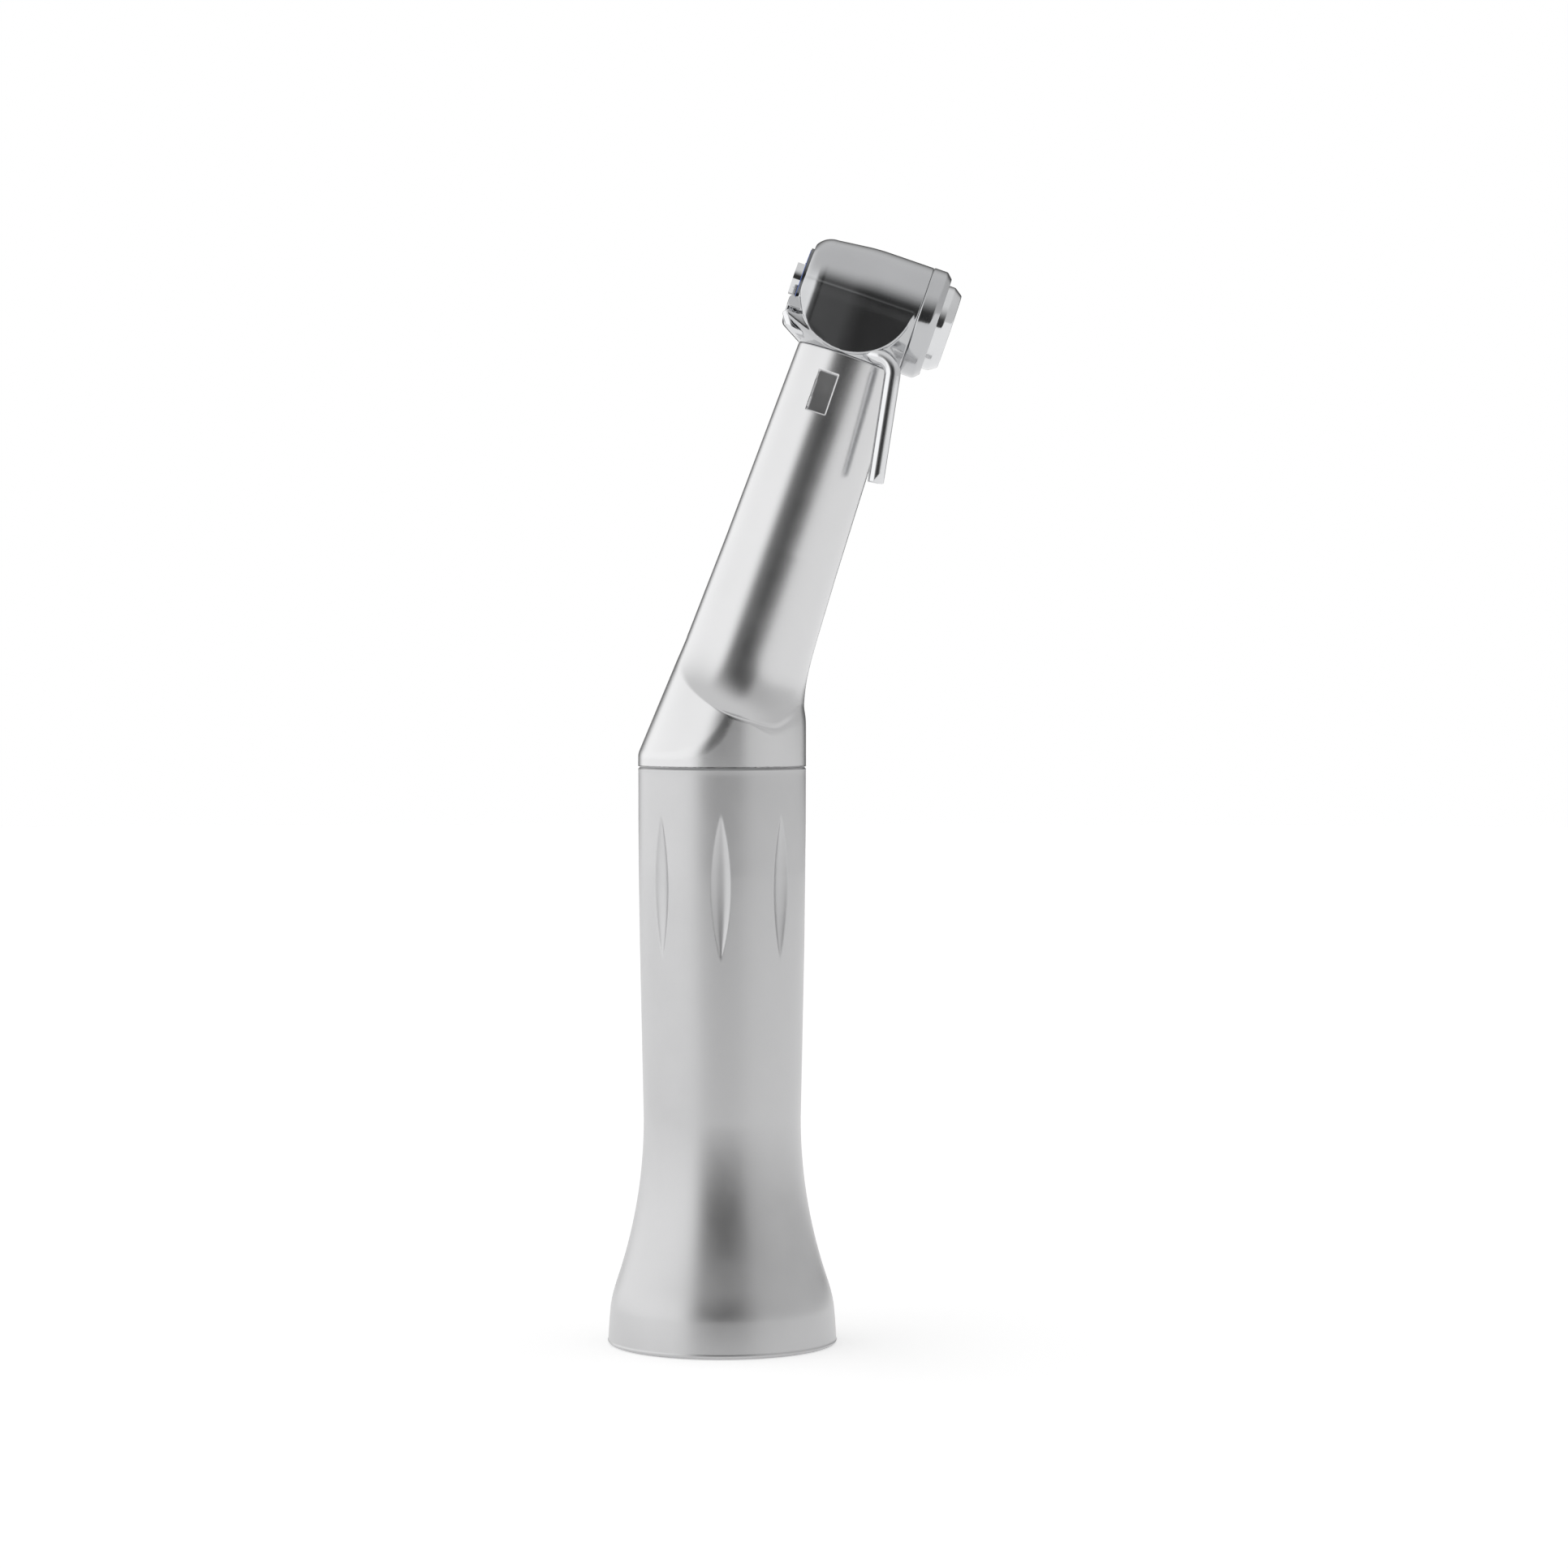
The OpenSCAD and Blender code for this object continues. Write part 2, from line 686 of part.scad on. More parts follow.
module drive_dog() {
    slot_w = 2 * (dog_pin_r + running_gap);
    slot_low = dog_pin_z - dog_travel - slot_w / 2;
    fork_w = 1.3;
    fork_h = 1.1;
    color(steel) difference() {
        disc(dog_r, dog_z - dog_floor, dog_top);
        disc(shaft_r + running_gap, dog_z, dog_top + see_through);
        translate([-slot_w / 2, -dog_r - see_through, slot_low])
            cube([slot_w, 2 * (dog_r + see_through), dog_pin_z + slot_w / 2 - slot_low]);
        translate([-dog_r - see_through, -fork_w / 2, dog_z - dog_floor - see_through])
            cube([2 * (dog_r + see_through), fork_w, fork_h + see_through]);
    }
}

module dog_pin() {
    color(dark_steel) translate([0, 0, dog_pin_z]) rotate([90, 0, 0])
        cylinder(r = dog_pin_r, h = 2 * dog_r - 0.1, center = true);
}

module dog_spring() {
    color(polished) spring(dog_r - 0.45, 0.15, 4, dog_top, spring_stop_z);
}

// ======================= neck drive =======================

module elbow_gear() {
    // half a tooth round, so that a gap meets the tooth of the drive gear
    color(dark_steel) at_neck() rotate([180, 0, 0]) rotate(180 / elbow_teeth)
        bevel_gear(elbow_teeth, elbow_cone_angle, elbow_cone, elbow_face,
            neck_shaft_r, inner_race_r(neck_bearing), neck_lower_bearing_u);
}

module neck_shaft() {
    collar = inner_race_r(neck_bearing) - 0.05;
    low = neck_lower_bearing_u + neck_bearing[2];
    color(steel) at_neck() {
        disc(neck_shaft_r, gear_floor(elbow_cone_angle), pinion_toe_u);
        disc(collar, low, neck_upper_bearing_u);
    }
}

module head_pinion() {
    back = head_u - neck_upper_bearing_u - neck_bearing[2];
    color(dark_steel) at_neck() translate([0, 0, head_u]) rotate(180)
        bevel_gear(pinion_teeth, pinion_cone_angle, head_cone, head_face,
            neck_shaft_r, inner_race_r(neck_bearing), back);
}

// ======================= head =======================

module crown_gear() {
    color(dark_steel) at_head() rotate(180 / crown_teeth)
        bevel_gear(crown_teeth, crown_cone_angle, head_cone, head_face,
            spindle_r, inner_race_r(bur_side_bearing), -crown_back_v);
}

module chuck_spindle() {
    flange_r = 2.5;
    flat_at = spindle_r - 0.23;
    slot_half = 0.65;
    color(polished) at_head() difference() {
        union() {
            disc(spindle_r, nose_v, spindle_top_v);
            disc(flange_r, spindle_top_v, flange_top_v);
        }
        disc(shank_bore_r, nose_v - see_through, spindle_top_v);
        disc(plunger_r + 0.3, spindle_top_v - 0.01, flange_top_v + see_through);
        translate([-flange_r - see_through, -slot_half, slot_low_v])
            cube([2 * (flange_r + see_through), 2 * slot_half, slot_high_v - slot_low_v]);
        for (side = [0, 180])
            rotate(side) translate([flat_at, -spindle_r, nose_v - see_through])
                cube([spindle_r, 2 * spindle_r, 0.6 + see_through]);
    }
}

// Radial slide in the spindle flange whose tip holds the instrument's latch groove
module latch_jaw(turn) {
    jaw_out = 2.3;
    tip_r = 0.98;
    half_w = 0.6;
    gap = 0.03;
    color(dark_steel) at_head() rotate(turn) intersection() {
        translate([0, -half_w, slot_low_v + gap])
            cube([jaw_out, 2 * half_w, slot_high_v - slot_low_v - 2 * gap]);
        ring(jaw_out, tip_r, slot_low_v, slot_high_v);
    }
}

// Half outline of the head barrel: radius over distance along the head axis
module barrel_outline() {
    corner_r = 1.9;
    front_r = head_r - 0.42;
    straight_v = -0.6;
    corner_v = corner_r - bur_face;
    intersection() {
        translate([0, -bur_face]) square([head_r, bur_face + cap_seam]);
        union() {
            polygon([[0, corner_v], [front_r, corner_v], [head_r, straight_v], [head_r, cap_seam],
                [0, cap_seam]]);
            translate([0, -bur_face]) square([front_r - corner_r, bur_face]);
            translate([front_r - corner_r, corner_v]) circle(r = corner_r);
        }
    }
}

// Barrel, lower cheeks, neck collar and the hump that carries the spray nozzle
module head_outside() {
    hump_front = bur_face + 0.45;
    hump_r = 4.4;
    hump_sink = head_rise - 0.2;
    at_head() rotate_extrude() barrel_outline();
    // cheeks: the barrel's width carried down to the neck, cut round by the cheek radius
    at_head() intersection() {
        rotate([0, 90, 0]) linear_extrude(head_rise) {
            rotate(90) barrel_outline();
            rotate(90) mirror([1, 0]) barrel_outline();
        }
        translate([0, 0, (cap_seam - bur_face) / 2 - 0.1]) rotate([90, 0, 0])
            cylinder(r = cheek_r, h = 4 * head_r, center = true);
    }
    at_neck() disc(neck_top_r, neck_length, head_u - 1);
    intersection() {
        at_head() translate([hump_sink, 0, -hump_front]) cylinder(r = hump_r, h = hump_front);
        at_neck() translate([0, 0, neck_length])
            cylinder(r1 = neck_top_r, r2 = neck_top_r + 1.8 * 3.4, h = 3.4);
    }
}

// Oval recess around the spray nozzle
module nozzle_recess() {
    half_w = 0.8;
    half_l = 0.75;
    at_neck() translate([-bur_face - 1, nozzle_y, nozzle_u]) rotate([0, 90, 0]) rotate(nozzle_lean) {
        for (end = [-1, 1])
            translate([end * half_l, 0, 0]) cylinder(r = half_w, h = 2.6);
        translate([-half_l, -half_w, 0]) cube([2 * half_l, 2 * half_w, 2.6]);
    }
}

// Coolant passage round the neck tube, from the irrigation tube to the spray nozzle
module coolant_passage() {
    at_neck() intersection() {
        translate([0, 0, passage_u]) rotate_extrude()
            translate([passage_r, 0]) circle(r = tube_bore_r, $fn = 36);
        translate([-2.9, -6, passage_u - 1]) cube([4, 4, 2]);
    }
}

module head_housing() {
    seat_r = bur_side_bearing[1];
    cavity_r = seat_r + 0.1;
    color(polished) difference() {
        union() {
            head_outside();
            at_neck() disc(spigot_r, spigot_foot, neck_length + 1);
        }
        at_head() disc(face_nut_r, -bur_face - see_through, bur_side_bearing_v);
        at_head() disc(seat_r, bur_side_bearing_v - 0.01, cap_thread_v);
        at_head() disc(cavity_r, crown_back_v, button_side_bearing_v);
        at_head() disc(cap_thread_r, cap_thread_v, cap_seam + see_through);
        at_head() disc(head_r + running_gap, cap_seam, cap_top_v);
        at_neck() disc(neck_tube_r, spigot_foot - see_through, neck_tube_top);
        at_neck() disc(pinion_room_r, neck_tube_top - see_through, head_u - 1);
        nozzle_recess();
        coolant_passage();
        tube_body();
        nozzle_body();
    }
}

module face_nut() {
    rim_r = 2.95;
    thin = 0.25;
    back = bur_side_bearing_v;
    color(dark_steel) at_head() difference() {
        union() {
            disc(face_nut_r, back - thin, back);
            disc(rim_r, -bur_face, back);
        }
        disc(seal_r, -bur_face - see_through, back - thin);
        disc(spindle_r + 0.2, -bur_face - see_through, back + see_through);
        disc(outer_race_r(bur_side_bearing) - 0.05, back - 0.1, back + see_through);
    }
}

module face_seal_ring() {
    color(blue) at_head()
        ring(seal_r, spindle_r + 0.15, -bur_face - 0.05, bur_side_bearing_v - 0.25);
}

module head_cap() {
    seal_room = 0.16;
    corner = 0.55;
    step_r = button_r + 0.1 + running_gap;
    color(polished) at_head() difference() {
        union() {
            disc(cap_thread_r, cap_thread_v, cap_seam);
            disc(head_r, cap_seam, cap_lip_v - 0.35);
            translate([0, 0, cap_lip_v - 0.35])
                cylinder(r1 = head_r, r2 = head_r - corner, h = cap_top_v - cap_lip_v + 0.35);
        }
        disc(button_side_bearing[1], cap_thread_v - see_through, seat_v);
        disc(cap_bore_r, seat_v, cap_lip_v);
        disc(step_r - 0.1, cap_lip_v - see_through, cap_top_v + see_through);
        ring(cap_thread_r + see_through, cap_thread_r - 2 * seal_room,
            cap_seam - 2 * seal_room, cap_seam - 0.02);
    }
}

module cap_seal() {
    wire = 0.15;
    color(black) at_head() translate([0, 0, cap_seam - 0.17])
        rotate_extrude() translate([cap_thread_r - wire - 0.01, 0]) circle(r = wire, $fn = 24);
}

module spring_seat() {
    color(steel) at_head()
        ring(cap_bore_r, outer_race_r(button_side_bearing) + 0.05, seat_v, seat_v + seat_thickness);
}

module push_button() {
    wall = 0.4;
    dish_depth = 0.22;
    dish_r = 14;
    top_r = button_r - 0.5;
    color(polished) at_head() difference() {
        union() {
            disc(cap_bore_r - running_gap, button_flange_v, button_flange_v + button_flange_h);
            disc(button_r, button_flange_v, button_plate_v + 0.2);
            translate([0, 0, button_plate_v + 0.2])
                cylinder(r1 = button_r, r2 = top_r, h = button_top_v - button_plate_v - 0.2);
        }
        disc(button_r - wall, button_flange_v - see_through, button_plate_v);
        translate([0, 0, button_top_v + dish_r - dish_depth]) sphere(r = dish_r, $fn = 180);
    }
    color(polished) at_head() translate([0, 0, button_flange_v + 0.25])
        cylinder(r1 = plunger_r - 0.4, r2 = plunger_r, h = button_plate_v - button_flange_v - 0.15);
}

module button_spring() {
    color(steel) at_head() spring(button_r - 0.62, 0.13, 3, seat_v + seat_thickness, button_plate_v);
}

// ======================= irrigation =======================
// Straight round bar between two points
module bar(from, to, r) {
    d = to - from;
    translate(from) rotate([0, acos(d[2] / norm(d)), atan2(d[1], d[0])]) cylinder(r = r, h = norm(d));
}

// Distance from the corner of a bent rod to the points where its bend starts and ends
function bend_tangent(a, b, c, bend_r) = bend_r / tan(acos(unit(a - b) * unit(c - b)) / 2);

// Round rod from a to c with one bend of radius bend_r near its corner b
module bent_rod(a, b, c, bend_r, r) {
    to_a = unit(a - b);
    to_c = unit(c - b);
    half = acos(to_a * to_c) / 2;
    lap = 4;
    bend_slim = 0.98;
    start = b + to_a * bend_tangent(a, b, c, bend_r);
    end = b + to_c * bend_tangent(a, b, c, bend_r);
    centre = b + unit(to_a + to_c) * bend_r / sin(half);
    x = unit(start - centre);
    z = unit(cross(start - centre, end - centre));
    y = cross(z, x);
    bar(a, start, r);
    bar(end, c, r);
    multmatrix([[x[0], y[0], z[0], centre[0]], [x[1], y[1], z[1], centre[1]],
            [x[2], y[2], z[2], centre[2]]])
        rotate(-lap) rotate_extrude(angle = 180 - 2 * half + 2 * lap)
            translate([bend_r, 0]) circle(r = bend_slim * r);
}

module tube_body() {
    at_neck() translate([0, 0, neck_length])
        bent_rod(tube_free_end, tube_corner, tube_inner_end, tube_bend_r, tube_r);
}

module irrigation_tube() {
    outwards = unit(tube_free_end - tube_corner);
    bore_start = tube_corner
        + outwards * bend_tangent(tube_free_end, tube_corner, tube_inner_end, tube_bend_r);
    color(polished) difference() {
        tube_body();
        at_neck() translate([0, 0, neck_length])
            bar(bore_start, tube_free_end + outwards, tube_bore_r);
    }
}

module nozzle_body() {
    at_neck() translate([0, 0, neck_length])
        bent_rod(nozzle_free_end, nozzle_corner, nozzle_inner_end, nozzle_bend_r, nozzle_r);
}

module spray_nozzle() {
    tip = unit(nozzle_free_end - nozzle_corner);
    color(polished) difference() {
        nozzle_body();
        at_neck() translate([0, 0, neck_length])
            bar(nozzle_free_end - tip, nozzle_free_end + tip, nozzle_r * 0.6);
    }
}

// ======================= assembly =======================

grip_sleeve();
coupling_sleeve();
neck_shell();
head_housing();
head_cap();
cap_seal();
face_nut();
face_seal_ring();
spray_nozzle();
irrigation_tube();
gear_sleeve();
ring_gear();
lock_nut();
neck_tube();
spring_seat();
output_bush();

color(steel) outer_race(handle_bearing, input_bearing_z);  // input_outer_race
color(steel) inner_race(handle_bearing, input_bearing_z);  // input_inner_race
color(polished) caged_balls(handle_bearing, input_bearing_z);  // input_balls
color(steel) outer_race(handle_bearing, output_bearing_z);  // output_outer_race
color(steel) inner_race(handle_bearing, output_bearing_z);  // output_inner_race
color(polished) caged_balls(handle_bearing, output_bearing_z);  // output_balls
color(steel) at_neck() outer_race(neck_bearing, neck_lower_bearing_u);  // neck_lower_outer_race
color(steel) at_neck() inner_race(neck_bearing, neck_lower_bearing_u);  // neck_lower_inner_race
color(polished) at_neck() caged_balls(neck_bearing, neck_lower_bearing_u);  // neck_lower_balls
color(steel) at_neck() outer_race(neck_bearing, neck_upper_bearing_u);  // neck_upper_outer_race
color(steel) at_neck() inner_race(neck_bearing, neck_upper_bearing_u);  // neck_upper_inner_race
color(polished) at_neck() caged_balls(neck_bearing, neck_upper_bearing_u);  // neck_upper_balls
color(steel) at_head() outer_race(bur_side_bearing, bur_side_bearing_v);  // bur_side_outer_race
color(steel) at_head() inner_race(bur_side_bearing, bur_side_bearing_v);  // bur_side_inner_race
color(polished) at_head() caged_balls(bur_side_bearing, bur_side_bearing_v);  // bur_side_balls
color(steel) at_head() outer_race(button_side_bearing, button_side_bearing_v);  // button_side_outer_race
color(steel) at_head() inner_race(button_side_bearing, button_side_bearing_v);  // button_side_inner_race
color(polished) at_head() caged_balls(button_side_bearing, button_side_bearing_v);  // button_side_balls

drive_dog();
dog_spring();
dog_pin();
input_shaft();
color(dark_steel) sun(sun_1_z, stage_1_z + stage_1_width);  // sun_1
color(dark_steel) planet(0, stage_1_z, stage_1_width);  // planet_1_a
color(dark_steel) planet(1, stage_1_z, stage_1_width);  // planet_1_b
color(dark_steel) planet(2, stage_1_z, stage_1_width);  // planet_1_c
carrier_1();
color(polished) planet_pins(stage_1_z, carrier_1_z + carrier_1_plate);  // planet_pins_1
color(dark_steel) sun(sun_2_z, stage_2_z + stage_2_width);  // sun_2
color(dark_steel) planet(0, stage_2_z, stage_2_width);  // planet_2_a
color(dark_steel) planet(1, stage_2_z, stage_2_width);  // planet_2_b
color(dark_steel) planet(2, stage_2_z, stage_2_width);  // planet_2_c
carrier_2();
color(polished) planet_pins(stage_2_z, carrier_2_z + carrier_2_plate);  // planet_pins_2
drive_gear();
elbow_gear();
neck_shaft();
head_pinion();
chuck_spindle();
crown_gear();
latch_jaw(0);  // latch_jaw_a
latch_jaw(180);  // latch_jaw_b
push_button();
button_spring();
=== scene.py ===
import json
import math

import bpy
import numpy as np
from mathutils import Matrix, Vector


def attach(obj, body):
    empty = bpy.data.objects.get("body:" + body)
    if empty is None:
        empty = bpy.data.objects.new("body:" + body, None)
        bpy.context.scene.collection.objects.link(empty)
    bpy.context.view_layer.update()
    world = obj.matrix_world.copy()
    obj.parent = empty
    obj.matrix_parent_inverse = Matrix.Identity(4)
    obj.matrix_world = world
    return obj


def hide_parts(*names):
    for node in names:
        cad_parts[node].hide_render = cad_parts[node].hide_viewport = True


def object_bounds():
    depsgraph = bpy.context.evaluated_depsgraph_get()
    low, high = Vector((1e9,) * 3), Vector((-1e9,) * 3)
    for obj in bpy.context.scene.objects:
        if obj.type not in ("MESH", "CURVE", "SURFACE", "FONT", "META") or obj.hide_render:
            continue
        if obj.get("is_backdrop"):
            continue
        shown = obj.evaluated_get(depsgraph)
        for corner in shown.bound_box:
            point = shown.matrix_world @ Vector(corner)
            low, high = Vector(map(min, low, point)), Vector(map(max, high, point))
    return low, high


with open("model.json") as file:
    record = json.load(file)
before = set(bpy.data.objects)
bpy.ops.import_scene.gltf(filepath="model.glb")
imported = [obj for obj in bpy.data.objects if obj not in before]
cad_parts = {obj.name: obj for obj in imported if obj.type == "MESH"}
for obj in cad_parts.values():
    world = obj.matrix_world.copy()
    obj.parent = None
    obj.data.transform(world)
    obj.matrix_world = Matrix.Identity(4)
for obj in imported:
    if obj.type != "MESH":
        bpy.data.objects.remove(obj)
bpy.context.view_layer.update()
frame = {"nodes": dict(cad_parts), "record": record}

nodes = frame["nodes"]
MM = 0.001

# ---- the two slanted frames, as in the CAD ----
BEND = math.radians(19)
U = np.array([math.sin(BEND), 0.0, math.cos(BEND)])      # along the neck, towards the head
V = np.array([math.cos(BEND), 0.0, -math.sin(BEND)])     # along the head, towards the button
Y = np.array([0.0, 1.0, 0.0])
ELBOW = np.array([0.0, 0.0, 53.6])
NECK_LENGTH = 33.8
HEAD_U = 38.9
HEAD = ELBOW + HEAD_U * U


# ======================= mesh helpers =======================

def new_piece(name, vertices_mm, faces, body, material, replaces=()):
    """Makes a mesh object from points in millimetres and hangs it on a CAD body."""
    mesh = bpy.data.meshes.new(name)
    mesh.from_pydata((np.asarray(vertices_mm) * MM).tolist(), [], faces)
    mesh.validate()
    mesh.update()
    mesh.shade_smooth()
    obj = bpy.data.objects.new(name, mesh)
    bpy.context.scene.collection.objects.link(obj)
    obj.data.materials.append(material)
    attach(obj, body)
    if replaces:
        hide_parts(*replaces)
    return obj


def grid_faces(rows, columns, close_rows):
    """Quads between rows of points that close round. With close_rows the last row meets the first."""
    faces = []
    for i in range(rows if close_rows else rows - 1):
        low, high = i * columns, (i + 1) % rows * columns
        for k in range(columns):
            n = (k + 1) % columns
            faces.append((low + k, low + n, high + n, high + k))
    return faces


def split_sharp(obj, degrees):
    """Keeps edges sharper than this angle crisp while the rest stays smooth."""
    mesh = obj.data
    limit = math.cos(math.radians(degrees))
    normals = np.empty(len(mesh.polygons) * 3)
    mesh.polygons.foreach_get("normal", normals)
    normals = normals.reshape(-1, 3)
    loop_edge = np.empty(len(mesh.loops), int)
    mesh.loops.foreach_get("edge_index", loop_edge)
    totals = np.empty(len(mesh.polygons), int)
    mesh.polygons.foreach_get("loop_total", totals)
    face_of_loop = np.repeat(np.arange(len(totals)), totals)
    order = np.argsort(loop_edge, kind="stable")
    edges, first, count = np.unique(loop_edge[order], return_index=True, return_counts=True)
    pair = count == 2
    a, b = face_of_loop[order[first[pair]]], face_of_loop[order[first[pair] + 1]]
    sharp = np.zeros(len(mesh.edges), bool)
    sharp[edges[pair]] = (normals[a] * normals[b]).sum(1) < limit
    mesh.attributes.new("sharp_edge", "BOOLEAN", "EDGE").data.foreach_set("value", sharp)


def lathe(profile, columns, place):
    """Turns a closed (radius, height) outline in mm, listed anticlockwise, round an axis."""
    profile = np.asarray(profile, float)
    turn = np.linspace(0, 2 * math.pi, columns, endpoint=False)
    r, h = profile[:, 0][:, None], profile[:, 1][:, None]
    x, y = r * np.cos(turn), r * np.sin(turn)
    points = place(x.ravel(), y.ravel(), np.repeat(h, columns, axis=1).ravel())
    return points, grid_faces(len(profile), columns, True)


def on_handle(x, y, z):
    """Places points given in the handle's own frame, which is the world's."""
    return np.stack([x, y, z], 1)


def on_head(x, y, v):
    """x points down the neck, as in the CAD's head frame."""
    return HEAD - x[:, None] * U + y[:, None] * Y + v[:, None] * V


def rounded(points, radius, steps=5):
    """Rounds each corner of a closed outline. radius is one number or one for each corner."""
    points = [np.array(p, float) for p in points]
    radii = [radius] * len(points) if np.isscalar(radius) else radius
    out = []
    for i, p in enumerate(points):
        a, b = points[i - 1] - p, points[(i + 1) % len(points)] - p
        la, lb = np.linalg.norm(a), np.linalg.norm(b)
        a, b = a / la, b / lb
        half = math.acos(np.clip(a @ b, -1, 1)) / 2
        cut = min(radii[i] / math.tan(half), la * 0.48, lb * 0.48) if half < 1.55 else 0
        if cut < 1e-4:
            out.append(p)
            continue
        r = cut * math.tan(half)
        centre = p + (a + b) / np.linalg.norm(a + b) * r / math.sin(half)
        s, e = p + a * cut - centre, p + b * cut - centre
        sweep = math.atan2(s[0] * e[1] - s[1] * e[0], s @ e)
        for k in range(steps + 1):
            t = sweep * k / steps
            out.append(centre + [s[0] * math.cos(t) - s[1] * math.sin(t),
                                 s[0] * math.sin(t) + s[1] * math.cos(t)])
    return np.array(out)


def densify(points, step):
    """Adds points so that no stretch of a closed outline is longer than step."""
    out = []
    for i, p in enumerate(points):
        q = points[(i + 1) % len(points)]
        n = max(1, math.ceil(np.linalg.norm(q - p) / step))
        out += [p + (q - p) * k / n for k in range(n)]
    return np.array(out)


def smooth_max(a, b, k):
    """The larger of two distances, with the crease between them rounded over a width of k."""
    h = np.maximum(k - np.abs(a - b), 0) / k
    return np.maximum(a, b) + h * h * k / 4


def smooth_min(a, b, k):
    return -smooth_max(-a, -b, k)


def tube_path(a, b, c, bend_r, steps):
    """Points from a to c with one round bend near the corner b."""
    a, b, c = (np.array(p, float) for p in (a, b, c))
    ta, tc = (a - b) / np.linalg.norm(a - b), (c - b) / np.linalg.norm(c - b)
    half = math.acos(ta @ tc) / 2
    cut = bend_r / math.tan(half)
    centre = b + (ta + tc) / np.linalg.norm(ta + tc) * bend_r / math.sin(half)
    s, e = b + ta * cut - centre, b + tc * cut - centre
    normal = np.cross(s, e)
    normal /= np.linalg.norm(normal)
    side = np.cross(normal, s)
    turn = math.pi - 2 * half
    bend = [centre + s * math.cos(turn * k / steps) + side * math.sin(turn * k / steps)
            for k in range(steps + 1)]
    return [a] + bend + [c]


def swept_tube(path, outline, columns):
    """Sweeps along a path. outline lists (radius, stretch along the path in mm from its start) and
    each of its points is one ring; it runs from inside the bore, round the lip and along the wall."""
    path = np.array(path, float)
    seg = np.linalg.norm(np.diff(path, axis=0), axis=1)
    run = np.concatenate([[0], np.cumsum(seg)])
    rings = []
    up = np.array([0.0, 1.0, 0.0])
    for r, s in outline:
        s = min(max(s, 0), run[-1])
        i = min(np.searchsorted(run, s, side="right") - 1, len(seg) - 1)
        p = path[i] + (path[i + 1] - path[i]) * (s - run[i]) / seg[i]
        before = path[max(i - 1, 0) + 1] - path[max(i - 1, 0)]
        along = path[i + 1] - path[i]
        after = path[min(i + 2, len(path) - 1)] - path[min(i + 1, len(path) - 2)]
        t = (s - run[i]) / seg[i]
        d = along / np.linalg.norm(along)
        if len(path) > 4 and 0 < i < len(seg) - 1:
            d = (d + 0.5 * (1 - t) * before / np.linalg.norm(before)
                 + 0.5 * t * after / np.linalg.norm(after))
            d /= np.linalg.norm(d)
        x = np.cross(d, up)
        x /= np.linalg.norm(x)
        y = np.cross(x, d)
        turn = np.linspace(0, 2 * math.pi, columns, endpoint=False)
        rings.append(p + r * (np.cos(turn)[:, None] * x + np.sin(turn)[:, None] * y))
    points = np.concatenate(rings)
    faces = grid_faces(len(rings), columns, False)
    faces = [f[::-1] for f in faces]
    faces.append(tuple(range(columns)))
    faces.append(tuple((len(rings) - 1) * columns + k for k in reversed(range(columns))))
    return points, faces


def surface_net(f, low, high, step):
    """Quads along the zero surface of f, inside a box in mm. Points are pulled onto the surface."""
    axes = [np.arange(low[i], high[i] + step, step) for i in range(3)]
    shape = tuple(len(a) for a in axes)
    d = np.empty(shape)
    gy, gz = np.meshgrid(axes[1], axes[2], indexing="ij")
    for i, x in enumerate(axes[0]):
        p = np.stack([np.full(gy.size, x), gy.ravel(), gz.ravel()], 1)
        d[i] = f(p).reshape(shape[1], shape[2])
    inside = d < 0
    cells = tuple(n - 1 for n in shape)
    corner = [(dx, dy, dz) for dx in (0, 1) for dy in (0, 1) for dz in (0, 1)]
    total = np.zeros(cells, int)
    for dx, dy, dz in corner:
        total += inside[dx:dx + cells[0], dy:dy + cells[1], dz:dz + cells[2]]
    mixed = (total > 0) & (total < 8)
    index = np.full(cells, -1)
    index[mixed] = np.arange(mixed.sum())
    where = np.argwhere(mixed)
    points = np.zeros((len(where), 3))
    crossings = np.zeros(len(where))
    for a in corner:
        for b in corner:
            if sum(abs(a[i] - b[i]) for i in range(3)) != 1 or a > b:
                continue
            da = d[where[:, 0] + a[0], where[:, 1] + a[1], where[:, 2] + a[2]]
            db = d[where[:, 0] + b[0], where[:, 1] + b[1], where[:, 2] + b[2]]
            hit = (da < 0) != (db < 0)
            t = np.where(hit, da / np.where(hit, da - db, 1), 0)
            place = np.array(a) + t[:, None] * (np.array(b) - np.array(a))
            points += np.where(hit[:, None], place, 0)
            crossings += hit
    points = np.array([a[0] for a in axes]) + (where + points / crossings[:, None]) * step
    for _ in range(3):
        points -= np.clip(newton_step(f, points, step), -0.35 * step, 0.35 * step)
    faces = []
    for axis in range(3):
        one, two = [(1, 2), (2, 0), (0, 1)][axis]
        lo = [slice(None)] * 3
        hi = [slice(None)] * 3
        lo[axis], hi[axis] = slice(0, -1), slice(1, None)
        change = inside[tuple(lo)] != inside[tuple(hi)]
        for s in (one, two):
            edge = [slice(None)] * 3
            edge[s] = [0, -1]
            change[tuple(edge)] = False
        at = np.argwhere(change)
        quad = []
        for s1, s2 in ((-1, -1), (0, -1), (0, 0), (-1, 0)):
            c = at.copy()
            c[:, one] += s1
            c[:, two] += s2
            quad.append(index[c[:, 0], c[:, 1], c[:, 2]])
        quad = np.stack(quad, 1)
        flip = ~inside[at[:, 0], at[:, 1], at[:, 2]]
        quad[flip] = quad[flip][:, ::-1]
        faces.append(quad)
    return points, np.concatenate(faces).tolist()


